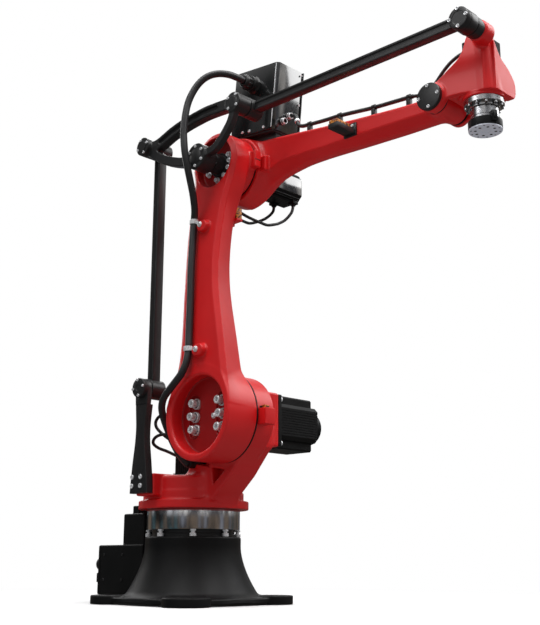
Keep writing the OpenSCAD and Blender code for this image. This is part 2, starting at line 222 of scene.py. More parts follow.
M["amber"] = amber()
M["servo"] = paint("servo_matt_black", (0.004, 0.0042, 0.0044), (0.007, 0.0072, 0.0075), 0.58, 0.04, peel=520.0, peel_s=0.02, spec=0.06)
# near-black finish: painted shadow on the seam rings and pin-hole cups, plain black on the small trim pieces
M["dark"] = paint("shadow_gap", (0.004, 0.004, 0.004), (0.007, 0.007, 0.007), 0.7, 0.05)
M["hole"] = paint("hole_bronze", (0.030, 0.022, 0.012), (0.055, 0.040, 0.024), 0.45, 0.05)
SLOT = {"red": "red_paint", "red_painted_shade": "red_paint", "cast": "black_casting", "black": "black_paint", "motor": "motor_black", "servo": "motor_black", "sheet": "box_sheet",
        "plastic": "black_plastic", "rubber": "cable_rubber", "steel": "machined_steel", "gear": "machined_steel", "bright": "bright_hardware", "plate": "plate_grey",
        "amber": "bumper_amber", "dark": "black_paint", "hole": "plate_grey"}


# ---------------------------------------------------------------- mesh helpers (millimetres in, metres out)
def build(name, verts, faces, mat, body=None, rep=(), normals=None, angle=34.0):
    me = bpy.data.meshes.new(name)
    me.from_pydata([tuple(v) for v in np.asarray(verts, float) * MM], [], faces)
    me.validate()
    me.polygons.foreach_set("use_smooth", np.ones(len(me.polygons), bool))
    if normals is not None and len(me.vertices) == len(normals):
        me.normals_split_custom_set_from_vertices([tuple(n) for n in normals])
    else:
        me.set_sharp_from_angle(angle=math.radians(angle))
    me.materials.append(M[mat])
    me.update()
    o = bpy.data.objects.new(name, me)
    bpy.context.scene.collection.objects.link(o)
    if body:
        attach(o, body)
    if rep:
        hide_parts(*rep)
    return o


def join(parts):
    vs, fs, k = [], [], 0
    for v, f in parts:
        v = np.asarray(v, float)
        vs.append(v)
        fs += [tuple(int(i) + k for i in q) for q in f]
        k += len(v)
    return np.concatenate(vs), fs


def part(name, parts, mat, body, rep=(), angle=34.0):
    v, f = join(parts)
    return build(name, v, f, mat, body, rep, angle=angle)


def unit(v):
    v = np.asarray(v, float)
    return v / np.linalg.norm(v)


def basis(a):
    a = unit(a)
    t = np.array([1.0, 0, 0]) if abs(a[0]) < 0.8 else np.array([0, 1.0, 0])
    u = unit(np.cross(t, a))
    return u, np.cross(a, u), a


def rings(p, a, stack, n=24, cap0=False, cap1=True):
    """Rings about axis a from point p. stack: (radius, height) or (radius, height, 'hex')."""
    u, v, w = basis(a)
    p = np.asarray(p, float)
    th = 2 * math.pi * np.arange(n) / n
    vs, fs = [], []
    for s in stack:
        r = np.full(n, float(s[0]))
        if len(s) > 2:
            r = s[0] * math.cos(math.pi / 6) / np.cos((th + math.pi / 6) % (math.pi / 3) - math.pi / 6)
        vs.append(p + np.outer(r * np.cos(th), u) + np.outer(r * np.sin(th), v) + s[1] * w)
    for k in range(len(stack) - 1):
        for j in range(n):
            j2 = (j + 1) % n
            fs.append((k * n + j, k * n + j2, (k + 1) * n + j2, (k + 1) * n + j))
    if cap1:
        fs.append(tuple((len(stack) - 1) * n + j for j in range(n)))
    if cap0:
        fs.append(tuple(j for j in range(n))[::-1])
    return np.concatenate(vs), fs


def screw(p, a, r, h, wash=None, n=24):
    """Socket-head screw standing on p, head along a."""
    c = 0.14 * r
    st = [(r, 0), (r, h - c), (r - c, h), (0.62 * r, h), (0.55 * r, h - 0.05 * r, "hex"), (0.55 * r, 0.45 * h, "hex")]
    out = [rings(p, a, st, n)]
    if wash:
        out.append(rings(p, a, [(wash, -0.2), (wash, 2.2), (wash - 0.6, 2.8), (r * 0.5, 2.8)], n + 8))
    return out


def ylathe(c, prof, n=64, cap0=True, cap1=True):
    """Turned piece about Y through (x, z); prof: (radius, y) with y falling towards the camera side."""
    return rings((c[0], 0, c[1]), (0, -1, 0), [(r, -y) for r, y in prof], n, cap0, cap1)


def zlathe(c, prof, n=64, cap0=True, cap1=True):
    return rings((c[0], c[1], 0), (0, 0, 1), prof, n, cap0, cap1)


def bm_out(bm):
    bmesh.ops.recalc_face_normals(bm, faces=bm.faces)
    bm.verts.index_update()
    v = np.array([x.co for x in bm.verts])
    f = [tuple(x.index for x in q.verts) for q in bm.faces]
    bm.free()
    return v, f


def rbox(lo, hi, b=1.5, seg=2):
    bm = bmesh.new()
    bmesh.ops.create_cube(bm, size=1.0)
    lo, hi = np.array(lo, float), np.array(hi, float)
    for v in bm.verts:
        v.co = Vector(lo + (np.array(v.co) + 0.5) * (hi - lo))
    bmesh.ops.bevel(bm, geom=bm.edges[:], offset=b, segments=seg, profile=0.6, affect="EDGES")
    return bm_out(bm)


def prism(pts, y0, y1, b=1.5, seg=2, all_edges=False):
    """Outline in XZ between two Y stations, with bevelled rims."""
    bm = bmesh.new()
    vs = [bm.verts.new((p[0], y0, p[1])) for p in pts]
    f = bm.faces.new(vs)
    ext = bmesh.ops.extrude_face_region(bm, geom=[f])
    for g in ext["geom"]:
        if isinstance(g, bmesh.types.BMVert):
            g.co.y = y1
    bmesh.ops.recalc_face_normals(bm, faces=bm.faces)
    if b:
        ed = [e for e in bm.edges if all_edges or abs(e.verts[0].co.y - e.verts[1].co.y) < 1e-6]
        bmesh.ops.bevel(bm, geom=ed, offset=b, segments=seg, profile=0.6, affect="EDGES")
    return bm_out(bm)


def turn(vf, o, ang, axis="Y"):
    """Turns a piece about an axis through o by ang degrees."""
    v, f = vf
    r = np.array(Matrix.Rotation(math.radians(ang), 3, axis))
    o = np.asarray(o, float)
    return (np.asarray(v) - o) @ r.T + o, f


def spl(pts, m=6, closed=False):
    """Smooth points through a route."""
    p = [np.asarray(q, float) for q in pts]
    n = len(p)
    out = []
    for i in range(n if closed else n - 1):
        if closed:
            a, b, c, d = p[i - 1], p[i], p[(i + 1) % n], p[(i + 2) % n]
        else:
            a, b, c, d = p[max(i - 1, 0)], p[i], p[i + 1], p[min(i + 2, n - 1)]
        for k in range(m):
            t = k / m
            out.append(0.5 * (2 * b + (c - a) * t + (2 * a - 5 * b + 4 * c - d) * t * t + (3 * b - a - 3 * c + d) * t ** 3))
    if not closed:
        out.append(p[-1])
    return np.array(out)


def tube(path, r, n=16, caps=True):
    p = np.asarray(path, float)
    t = np.gradient(p, axis=0)
    t /= np.linalg.norm(t, axis=1)[:, None]
    u = basis(t[0])[0]
    vs, fs = [], []
    rr = np.full(len(p), float(r)) if np.isscalar(r) else np.asarray(r, float)
    th = 2 * math.pi * np.arange(n) / n
    for i in range(len(p)):
        u = unit(u - (u @ t[i]) * t[i])
        w = np.cross(t[i], u)
        vs.append(p[i] + rr[i] * (np.outer(np.cos(th), u) + np.outer(np.sin(th), w)))
    for i in range(len(p) - 1):
        for j in range(n):
            j2 = (j + 1) % n
            fs.append((i * n + j, i * n + j2, (i + 1) * n + j2, (i + 1) * n + j))
    if caps:
        fs.append(tuple(range(n))[::-1])
        fs.append(tuple((len(p) - 1) * n + j for j in range(n)))
    return np.concatenate(vs), fs


# ---------------------------------------------------------------- cords (routes near those in the part's source)
HOSE_A = [(262, -90, 1315), (258, -110, 1318), (250, -131, 1321), (235, -152, 1321), (219, -170, 1314), (204, -184, 1299), (191, -196, 1274), (181, -206, 1239), (177, -212, 1196), (176, -214, 1149)]
HOSE_B = [(176, -214, 1149), (179, -212, 1108), (180, -204, 1070), (178, -191, 1034), (172, -175, 1000), (161, -159, 968), (151, -151, 946)]
HOSE_C = [(151, -151, 946), (151, -152, 928), (152, -156, 870), (154, -160, 810), (157, -163, 730), (160, -167, 655), (164, -171, 615), (164, -172, 596)]
HOSE_D = [(164, -172, 596), (163, -177, 570), (151, -182, 543), (123, -186, 516), (91, -183, 493), (67, -170, 472), (51, -150, 450), (45, -132, 425), (48, -119, 398), (56, -107, 371), (63, -96, 353), (70, -84, 338)]
CAB_A = [(78, -30, 440), (62, -42, 447), (44, -68, 458), (22, -100, 467), (2, -120, 463), (-10, -125, 449), (-6, -124, 432), (6, -110, 414), (26, -99, 398), (54, -97, 380), (78, -97, 366), (87, -88, 362), (88, -78, 362)]
CAB_B = [(98, -78, 346), (98, -92, 347), (95, -104, 355), (84, -108, 374), (56, -104, 400), (30, -106, 413), (6, -118, 415), (-11, -125, 408), (-19, -124, 395), (-14, -112, 384), (1, -94, 375), (10, -73, 366), (11, -52, 362)]
LEAD1 = [(174, 115, 1044), (173, 111, 1028), (166, 93, 1008), (160.5, 70, 994)]
LEAD1B = [(160.5, 70, 994), (156, 42, 983), (157, 17, 982), (166, -6, 980), (184, -30, 975), (199, -56, 970)]
LEAD2 = [(216, 147, 1044), (214, 142, 1024), (205, 126, 1001), (196.5, 106.5, 987.5)]
LEAD2B = [(196.5, 106.5, 987.5), (186, 80, 980), (180, 56, 983), (173, 28, 989), (172, 0, 994), (178, -28, 997), (186, -54, 999), (190, -77, 999)]
FCAB = [(354, 0, 1216), (363, -1, 1213), (370, -3, 1205), (374, -5, 1193), (381, -7, 1180), (396, -9, 1171), (422, -10, 1167), (470, -10, 1162), (521, -10, 1158), (574, -10, 1151), (626, -10, 1144), (680, -10, 1139), (728, -10, 1135), (739.5, -10, 1133.5)]
WCAB = [(739.5, -10, 1133.5), (770, -10, 1128), (790, -10, 1135), (806, -10, 1148), (824, -10, 1165), (842, -9, 1179), (862, -8, 1188), (879, -6, 1192), (887, -6, 1192)]


def cord(name, route, r, bodies, rep, m=8):
    """bodies: one name to ride on, or two names (first end first), in which case the cord is baked in place and rides
    on neither.
    """
    p = spl(route, m)
    v, f = tube(p, r, 18)
    o = build(name, v, f, "rubber")
    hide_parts(*rep)
    if isinstance(bodies, str):
        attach(o, bodies)
    else:
        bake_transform(o)
    return o


cord("hose_box", HOSE_A, 9, ("forearm", "rocker"), ["box_hose"])
cord("hose_elbow", HOSE_B, 9, ("rocker", "lower_arm"), ["rocker_hose"])
cord("hose_arm", HOSE_C, 9, "lower_arm", ["arm_hose"])
cord("hose_shoulder", HOSE_D, 9, ("lower_arm", "turntable"), ["shoulder_hose"])
cord("waist_lead_a", CAB_A, 4, "turntable", ["waist_cables"])
cord("waist_lead_b", CAB_B, 4, "turntable", ["waist_cables"])
cord("elbow_lead_1", LEAD1, 4, ("forearm", "rocker"), ["motor_cables"])
cord("elbow_lead_1b", LEAD1B, 4, ("rocker", "lower_arm"), ["elbow_cables"])
cord("elbow_lead_2", LEAD2, 4, ("forearm", "rocker"), ["motor_cables"])
cord("elbow_lead_2b", LEAD2B, 4, ("rocker", "lower_arm"), ["elbow_cables"])
cord("forearm_lead", FCAB, 5, "forearm", ["forearm_cable"])
cord("wrist_lead", WCAB, 4, ("forearm", "wrist_head"), ["wrist_cable"])


# ---------------------------------------------------------------- implicit castings
def smin(a, b, k):
    h = np.maximum(k - np.abs(a - b), 0.0) / k
    return np.minimum(a, b) - h * h * k * 0.25


def smax(a, b, k):
    return -smin(-a, -b, k)


def _ext(d, q, e):
    return np.minimum(np.maximum(d, q), 0) + np.hypot(np.maximum(d, 0), np.maximum(q, 0)) - e


def cy(P, c, r, y0, y1, e=2.0):
    return _ext(np.hypot(P[0] - c[0], P[2] - c[1]) - (r - e), np.abs(P[1] - (y0 + y1) / 2) - ((y1 - y0) / 2 - e), e)


def cz(P, c, r, z0, z1, e=2.0):
    return _ext(np.hypot(P[0] - c[0], P[1] - c[1]) - (r - e), np.abs(P[2] - (z0 + z1) / 2) - ((z1 - z0) / 2 - e), e)


def bx(P, lo, hi, e=2.0):
    q = [np.abs(P[i] - (lo[i] + hi[i]) / 2) - ((hi[i] - lo[i]) / 2 - e) for i in range(3)]
    inside = np.minimum(np.maximum(np.maximum(q[0], q[1]), q[2]), 0)
    return inside + np.sqrt(np.maximum(q[0], 0) ** 2 + np.maximum(q[1], 0) ** 2 + np.maximum(q[2], 0) ** 2) - e


def poly(x, z, pts):
    d, s = 1e18, 1.0
    n = len(pts)
    for i in range(n):
        a, b = pts[i], pts[i - 1]
        ex, ez = b[0] - a[0], b[1] - a[1]
        wx, wz = x - a[0], z - a[1]
        t = np.clip((wx * ex + wz * ez) / (ex * ex + ez * ez), 0, 1)
        d = np.minimum(d, (wx - ex * t) ** 2 + (wz - ez * t) ** 2)
        c1, c2, c3 = z >= a[1], z < b[1], ex * wz > ez * wx
        s = np.where((c1 & c2 & c3) | (~c1 & ~c2 & ~c3), -s, s)
    return s * np.sqrt(d)


def line(x, z, pts):
    d = 1e18
    for a, b in zip(pts[:-1], pts[1:]):
        ex, ez = b[0] - a[0], b[1] - a[1]
        wx, wz = x - a[0], z - a[1]
        t = np.clip((wx * ex + wz * ez) / (ex * ex + ez * ez), 0, 1)
        d = np.minimum(d, (wx - ex * t) ** 2 + (wz - ez * t) ** 2)
    return np.sqrt(d)


def pl(P, pts, y0, y1, e=2.0):
    return _ext(poly(P[0], P[2], pts) + e, np.abs(P[1] - (y0 + y1) / 2) - ((y1 - y0) / 2 - e), e)


def curve(pts, sig):
    p = np.array(sorted(pts), float)
    t = np.arange(p[0, 0] - 150.0, p[-1, 0] + 150.0, 1.0)
    v = np.interp(t, p[:, 0], p[:, 1])
    s0 = (p[1, 1] - p[0, 1]) / (p[1, 0] - p[0, 0])
    s1 = (p[-1, 1] - p[-2, 1]) / (p[-1, 0] - p[-2, 0])
    v = np.where(t < p[0, 0], p[0, 1] + s0 * (t - p[0, 0]), v)
    v = np.where(t > p[-1, 0], p[-1, 1] + s1 * (t - p[-1, 0]), v)
    x = np.arange(-3 * sig, 3 * sig + 1)
    k = np.exp(-0.5 * (x / sig) ** 2)
    k /= k.sum()
    v = np.convolve(np.pad(v, len(k) // 2, mode="edge"), k, mode="valid")
    return lambda q: np.interp(q, t, v)


def net(f, lo, hi, h):
    """Quads on f = 0, points pulled on to the surface, with its normals."""
    lo, hi = np.array(lo, float), np.array(hi, float)
    n = np.ceil((hi - lo) / h).astype(int) + 1
    ax = [lo[i] + h * np.arange(n[i]) for i in range(3)]
    P = np.meshgrid(*ax, indexing="ij", sparse=True)
    F = np.ascontiguousarray(np.broadcast_to(f(P), tuple(n)))
    s = F < 0
    cnt = np.zeros(tuple(n - 1), np.uint8)
    for i in (0, 1):
        for j in (0, 1):
            for k in (0, 1):
                cnt += s[i:n[0] - 1 + i, j:n[1] - 1 + j, k:n[2] - 1 + k]
    act = (cnt > 0) & (cnt < 8)
    ids = np.argwhere(act)
    idx = np.full(cnt.shape, -1, np.int64)
    idx[act] = np.arange(len(ids))
    acc, num = np.zeros((len(ids), 3)), np.zeros(len(ids))
    cor = [(i, j, k) for i in (0, 1) for j in (0, 1) for k in (0, 1)]
    for a in cor:
        for d in range(3):
            if a[d]:
                continue
            b = list(a)
            b[d] = 1
            fa = F[ids[:, 0] + a[0], ids[:, 1] + a[1], ids[:, 2] + a[2]]
            fb = F[ids[:, 0] + b[0], ids[:, 1] + b[1], ids[:, 2] + b[2]]
            w = (fa < 0) != (fb < 0)
            t = np.where(w, fa / np.where(w, fa - fb, 1.0), 0.0)
            q = np.array(a, float)[None, :] + np.outer(t, np.array(b) - np.array(a))
            acc[w] += q[w]
            num[w] += 1
    X = lo + h * (ids + acc / num[:, None])

    def grad(X):
        e = 0.15
        g = np.zeros_like(X)
        for d in range(3):
            o = np.zeros(3)
            o[d] = e
            g[:, d] = (f([X[:, i] + o[i] for i in range(3)]) - f([X[:, i] - o[i] for i in range(3)])) / (2 * e)
        return g

    for _ in range(3):
        g = grad(X)
        val = f([X[:, i] for i in range(3)])
        st = (val / np.maximum((g * g).sum(1), 0.05))[:, None] * g
        ln = np.linalg.norm(st, axis=1)
        st *= np.minimum(1.0, 0.5 * h / np.maximum(ln, 1e-9))[:, None]
        X = X - st
    g = grad(X)
    nrm = g / np.maximum(np.linalg.norm(g, axis=1), 1e-9)[:, None]
    quads = []
    for d in range(3):
        u, w = (d + 1) % 3, (d + 2) % 3
        sl0 = [slice(None)] * 3
        sl1 = [slice(None)] * 3
        sl0[d], sl1[d] = slice(0, n[d] - 1), slice(1, n[d])
        for q in (u, w):
            sl0[q] = sl1[q] = slice(1, n[q] - 1)
        a, b = s[tuple(sl0)], s[tuple(sl1)]
        e = np.argwhere(a != b)
        flip = b[tuple(e.T)]
        base = e.copy()
        base[:, u] += 1
        base[:, w] += 1
        c = []
        for du, dw in ((-1, -1), (0, -1), (0, 0), (-1, 0)):
            t = base.copy()
            t[:, u] += du
            t[:, w] += dw
            c.append(idx[t[:, 0], t[:, 1], t[:, 2]])
        c = np.stack(c, 1)
        c[flip] = c[flip][:, ::-1]
        quads.append(c)
    return X, np.concatenate(quads), nrm


def casting(name, f, lo, hi, h, mat, body, rep, zone=None):
    """zone: (test on face centres, name, finish) for faces that form a piece of their own."""
    X, q, nrm = net(f, lo, hi, h * (1.0))
    sets = [(name, mat, rep, np.ones(len(q), bool))]
    if zone:
        c = X[q].mean(1)
        k = zone[0](c[:, 0], c[:, 1], c[:, 2])
        sets = [(name, mat, rep, ~k), (zone[1], zone[2], (), k)]
    for nm, mt, rp, k in sets:
        use, inv = np.unique(q[k], return_inverse=True)
        build(nm, X[use], [tuple(int(i) for i in r) for r in inv.reshape(-1, 4)], mt, body, rp, normals=nrm[use])


# base
def f_pedestal(P):
    x, y, z = P
    rad = np.hypot(x, y)
    t = np.maximum(140.0 - z, 0.0)
    rz = 122.0 + 0.0139 * t ** 1.7
    sl = 0.0139 * 1.7 * t ** 0.7
    f = (rad - rz) / np.sqrt(1 + sl * sl)
    f = smax(f, z - 164.0, 5.0)
    f = smax(f, 10.0 - z, 3.0)
    f = smin(f, bx(P, (-178, -178, 4), (178, 178, 17), 3.0), 16.0)
    for sx in (-140, 140):
        for sy in (-140, 140):
            f = smin(f, cz(P, (sx, sy), 57.0, 0, 22, 3.0), 5.0)
    f = smax(f, -z, 1.5)
    for sx in (-140, 140):
        for sy in (-140, 140):
            f = smax(f, -(np.hypot(x - sx, y - sy) - 9.0), 2.5)
            f = smax(f, -cz(P, (sx, sy), 17.0, 19.0, 60.0, 0.8), 1.5)
    return f


casting("pedestal", f_pedestal, (-204, -204, -6), (204, 204, 170), 3.4, "cast", "base", ["base_pedestal"])


def f_rear(P):
    f = bx(P, (-283, -88, 19), (-95, 88, 146), 4.0)
    f = np.minimum(f, bx(P, (-181, -85.5, 120), (-95, 85.5, 225), 4.0))
    f = np.minimum(f, bx(P, (-176, -60, 210), (-151, 5, 247), 3.0))
    # cover seams
    for xx in (-272.0,):
        f = smax(f, -bx(P, (xx - 0.9, -100, 0), (xx + 0.9, 100, 150), 0.2), 1.0)
    return f


casting("rear_housing", f_rear, (-292, -96, 12), (-92, 96, 254), 2.8, "cast", "base", ["rear_box"])


# turntable
WEB = [(45, 250), (140, 250), (205, 307), (262, 372), (262, 420), (195, 444), (96, 404), (74, 368), (52, 330), (45, 312)]
POCKET = [(139, 328), (184, 320), (144, 288)]


def f_turn(P):
    x, y, z = P
    fl = cz(P, (0, 0), 141.0, 232, 253, 2.5)
    fl = smax(fl, np.maximum(np.abs(x), np.abs(y)) - 139.0, 2.5)
    dr = cz(P, (0, 0), 128.0, 240, 312, 8.0)
    dr = smax(dr, y - 60.0, 8.0)
    f = smin(fl, cz(P, (0, 0), 128.0, 240, 276, 4.0), 5.0)
    f = smin(f, dr, 6.0)
    f = smin(f, bx(P, (-46, -153, 262), (22, -80, 316), 4.0), 6.0)
    web = pl(P, WEB, -66, 20, 5.0)
    hs = cy(P, S, 105.0, -71.5, -10, 2.5)
    hs = smin(hs, bx(P, (S[0] - 67, -25, S[1] - 67), (S[0] + 67, 45, S[1] + 67), 6.0), 4.0)
    hs = smin(web, hs, 14.0)
    hs = smax(hs, -(y + 71.5), 1.5)
    f = smin(f, hs, 20.0)
    # pocket between drum and web
    f = smax(f, -pl(P, POCKET, -90, -34, 3.0), 5.0)
    # small window over the drum
    f = smax(f, -pl(P, [(74, 352), (128, 341), (128, 331), (74, 341)], -90, -52, 2.0), 3.0)
    # flat foot of the waist motor
    f = smax(f, -bx(P, (-46, -46, 311.5), (46, 46, 420), 1.0), 1.0)
    return f


casting("turntable_body", f_turn, (-148, -160, 226), (312, 148, 556), 3.2, "red", "turntable", ["turntable_casting"])

# lower arm
XR = curve([(470, 297), (505, 295), (526, 291), (564, 281), (614, 270), (665, 258), (718, 245), (771, 235), (824, 231), (876, 233), (928, 239), (980, 247), (1020, 261), (1060, 273), (1090, 276)], 14)
XL = curve([(470, 90), (505, 99), (535, 106), (562, 112), (586, 116), (637, 118), (689, 116), (742, 114), (795, 113), (849, 112), (903, 112), (957, 115), (1000, 119), (1037, 126), (1060, 125), (1090, 116)], 14)


def yf(z):
    return -171.0 + (z - 444.0) * 41.0 / 650.0


def f_lower(P):
    x, y, z = P
    d = y - yf(z)
    r, l = XR(z), XL(z)
    k = np.clip((1060.0 - z) / 150.0, 0, 1)
    t = 0.37 * k * k * (3.0 - 2.0 * k) * np.clip((z - 440.0) / 90.0, 0, 1)
    right = (x - r + t * np.maximum(d - 8, 0)) / np.sqrt(1 + t * t)
    left = (l - x + 0.5 * t * np.maximum(d - 6, 0))
    body = smax(right, left, 6.0)
    body = smax(body, y + 77.0, 7.0)
    body = smax(body, -d, 4.0)
    body = smax(body, (x - (r - 15.0)) * 0.47 - d * 0.883, 1.2)
    body = smax(body, ((l + 12.0) - x) * 0.42 - d * 0.907, 1.2)
    body = smax(body, np.maximum(470.0 - z, z - 1093.0), 1.0)
    f = smin(body, cy(P, S, 112.0, -171, -74.5, 5.0), 16.0)
    q = np.hypot(x - E[0], z - E[1])
    end = smax(q - 81.0, -130.0 - y, 4.0)
    end = smax(end, (q - 66.0) * 0.47 - (y + 130.0) * 0.883, 1.2)
    f = np.minimum(f, smax(end, y + 54.5, 3.0))
    f = smax(f, np.maximum(yf(np.clip(z, 444.0, 1094.0)) + 0 * x - y, y + 54.5), 2.0)
    for x0, x1, zc in ((179, 185, 922), (193, 203, 598)):
        g = np.hypot(x - np.clip(x, x0, x1), z - zc) - 17.0 + 0.22 * np.clip(yf(zc) + 2.0 - y, 0, 20)
        f = smin(f, _ext(g + 2.0, np.abs(y + 120.0) + yf(zc) + 110.0 - 2.0 + 0 * x, 2.0), 3.5)
    f = smin(f, bx(P, (255, -75, 1074), (294, -55, 1118), 2.5), 5.0)
    f = smax(f, -cy(P, S, 93.0, -230, -132, 5.0), 9.0)
    for sx in (-48, 48):
        cap = np.hypot(x - S[0] - sx, np.maximum(np.abs(z - S[1]) - 34.0, 0)) - 18.5
        f = smax(f, -smax(cap, y + 124.0, 3.0), 3.0)
    f = smax(f, -cy(P, E, 65.0, -230, -104, 4.0), 3.0)
    return f


# faces inside the shoulder and elbow recesses take the darker red: painted shade in the recesses
def in_recess(x, y, z):
    a = (np.hypot(x - S[0], z - S[1]) < 92.4) & (y > -164.0)
    b = (np.hypot(x - E[0], z - E[1]) < 65.6) & (y > -127.0)
    return (a | b) & (y < -90.0)


casting("lower_arm_body", f_lower, (76, -186, 326), (314, -48, 1182), 2.9, "red", "lower_arm", ["lower_arm_casting"], (in_recess, "lower_arm_recess_shade", "red_painted_shade"))

# forearm
TOP = curve([(180, 1178), (215, 1172), (269, 1161), (341, 1153), (410, 1144), (477, 1135), (602, 1119), (719, 1107), (767, 1103), (815, 1106)], 14)
BOT = curve([(200, 1018), (222, 1020), (245, 1025), (282, 1042), (335, 1057), (404, 1066), (470, 1066), (596, 1059), (713, 1054), (822, 1052)], 14)
CRE = curve([(240, 1040), (277, 1058), (305, 1074), (341, 1083), (410, 1083), (476, 1079), (631, 1075), (718, 1071), (822, 1066)], 14)
BOXO = (173.0, 0.0, 1172.0)
BOXA = 6.4


def f_fore(P):
    x, y, z = P
    ya = np.abs(y)
    tp, bt, cr = TOP(x), BOT(x), CRE(x)
    k = np.maximum(cr - bt, 6.0)
    bev = ((ya - 36.0) * k - (z - cr) * 25.0) / np.sqrt(k * k + 625.0)
    f = smax(ya - 36.0, z - tp, 9.0)
    f = smax(f, bev, 3.0)
    f = smax(f, bt - z, 4.0)
    f = smax(f, np.maximum(200.0 - x, x - 822.0), 4.0)
    el = cy(P, E, 88.0, -52, 18, 4.0)
    f = smin(f, el, 20.0)
    f = smin(f, cy(P, W, 31.0, -38, 38, 2.5), 10.0)
    f = smax(f, np.maximum(-52.0 - y, y - 42.0), 2.0)
    # seat of the elbow motor
    f = smax(f, -bx(P, (147, 18, 1046), (243, 90, 1142), 1.0), 1.5)
    f = smin(f, bx(P, (270, -50, 1069), (304, -30, 1108), 2.5), 5.0)
    return f


casting("forearm_body", f_fore, (100, -58, 998), (862, 72, 1196), 2.6, "red", "forearm", ["forearm_casting"])

# wrist head
HEADW = [tuple(q) for q in spl([(918, 1212), (908, 1199), (899, 1174), (885, 1155), (862, 1139), (840, 1123), (822, 1115)], 4)] + \
        [tuple(q) for q in spl([(822, 1053), (838, 1057), (849, 1067), (858, 1074), (876, 1075), (904, 1072), (932, 1068)], 4)] + [(946, 1068), (946, 1200), (932, 1208)]
WING = [(-30, 1067), (-30, 1182), (-24, 1176), (-14, 1160), (-6, 1151), (1, 1145), (13, 1138.5), (26, 1131), (38, 1121), (47, 1111), (51, 1100), (51, 1082), (47, 1072), (42, 1067)]


def step(v):
    v = np.clip(v, 0.0, 1.0)
    return v * v * (3.0 - 2.0 * v)


def f_head(P):
    x, y, z = P
    front = -44.0 - 11.0 * np.clip((938.0 - x) / 100.0, 0.0, 1.05)
    back = -43.4 + 13.0 * step((x - 858.0) / 22.0)
    f = smax(poly(x, z, HEADW), smax(front - y, y - back, 2.0), 3.0)
    k = np.clip((z - 1075.0) / 121.0, 0.0, 1.0)
    nose = np.hypot(x - 938.0 + 2.0 * k, y + 16.0 + 6.0 * k) - 28.0 + 6.0 * k
    f = smin(f, _ext(nose + 2.0, np.abs(z - 1132.0) - 62.0, 2.0), 3.0)
    f = smin(f, _ext(poly(y, z, WING) + 2.0, np.abs(x - 957) - 7.0, 2.0), 3.0)
    q0, q1 = np.abs(x - 916.0) - 24.0, np.abs(y - 0.5) - 20.0
    rect = np.minimum(np.maximum(q0, q1), 0) + np.hypot(np.maximum(q0, 0), np.maximum(q1, 0)) - 23.0
    f = np.minimum(f, _ext(rect + 3.0, np.abs(z - 1081.0) - 10.0, 3.0))
    f = np.minimum(f, bx(P, (858, -46, 1072.5), (905, 38, 1091), 2.0))
    f = smin(f, cz(P, (917, 0), 46.5, 1062.0, 1072, 1.5), 1.5)
    f = smin(f, cy(P, W, 31.0, -62, -43.5, 2.5), 9.0)
    f = smin(f, cy(P, H, 24.0, -73, -37, 6.0), 7.0)
    # far ear and its arm
    far = smin(cy(P, W, 31.0, 43.5, 58, 3.0), _ext(poly(x, z, [(822, 1053), (850, 1058), (890, 1068), (890, 1095), (845, 1112), (822, 1115)]) + 2.0, np.abs(y - 47.5) - 2.0, 2.0), 6.0)
    f = smin(f, far, 5.0)
    # room for the forearm's end and for the motor
    f = smax(f, -np.maximum(np.hypot(x - W[0], z - W[1]) - 37.0, np.abs(y) - 43.4), 1.0)
    f = smax(f, -bx(P, (879, -31, 1094), (949, 90, 1260), 3.0), 3.0)
    return f


casting("wrist_body", f_head, (784, -80, 1046), (984, 66, 1222), 1.9, "red", "wrist_head", ["wrist_head_casting"])

# rocker
ARCH = spl([(-10, 1175), (35, 1176), (88, 1191), (136, 1200), (179, 1204), (221, 1206), (266, 1204), (326, 1199)], 4)
BAR1 = spl([(-10, 1175), (50, 1132), (104, 1107), (150, 1094), (195, 1092)], 4)
BAR2 = spl([(200, 1094), (227, 1096), (256, 1100), (278, 1114.5), (297, 1133), (312, 1150.5), (321, 1170), (327, 1198)], 4)


def f_rocker(P):
    x, y, z = P
    sm = smin(line(x, z, ARCH) - 15.0, line(x, z, BAR1) - 12.0, 10.0)
    f = _ext(sm + 2.5, np.abs(y + 175.0) - 9.5, 2.5)
    f = smin(f, _ext(line(x, z, BAR2) - 9.5 + 2.0, np.abs(y + 178.0) - 6.5, 2.0), 8.0)
    # channel along each arm, both faces
    g = line(x, z, ARCH[5:-4]) - 6.0
    f = smax(f, -smax(g, 6.5 - np.abs(y + 175.0), 2.0), 2.0)
    f = smin(f, cy(P, E, 34.0, -190, -146, 2.5), 6.0)
    f = smin(f, cy(P, L, 25.0, -200, -160, 1.5), 5.0)
    f = smin(f, cy(P, T, 25.0, -188, -146, 1.5), 5.0)
    return f


casting("rocker_body", f_rocker, (-42, -206, 1052), (358, -140, 1232), 1.9, "black", "rocker", ["rocker"])

# ---------------------------------------------------------------- base details
part("ring_seat_turned", [zlathe((0, 0), [(100, 163), (106, 163.5), (106, 170), (104.5, 170.8), (104.5, 173), (106, 173.8), (106, 181), (100, 181)], 96)], "black", "base", ["ring_seat"])
part("slew_ring", [zlathe((0, 0), [(104, 181), (117.2, 181), (118.6, 181.6), (119, 183), (119, 229.4), (118.6, 230.9), (117.2, 231.5), (104, 231.5)], 160)], "steel", "base", ["reducer_ring"])
pp = []
for k in range(8):
    a = math.radians(3.5 + 45 * k)
    c = (113 * math.cos(a), 113 * math.sin(a))
    pp.append(zlathe(c, [(5.0, 164), (5.0, 181)], 20))
    pp.append(zlathe(c, [(7.6, 164.0), (8.2, 164.6), (8.2, 171.5), (7.4, 172.4), (5.0, 172.4)], 24))
    pp.append(zlathe(c, [(5.0, 177.4), (7.8, 177.4), (7.8, 180.9)], 6))
part("ring_screws", pp, "bright", "base", ["ring_bolts"])
pp = []
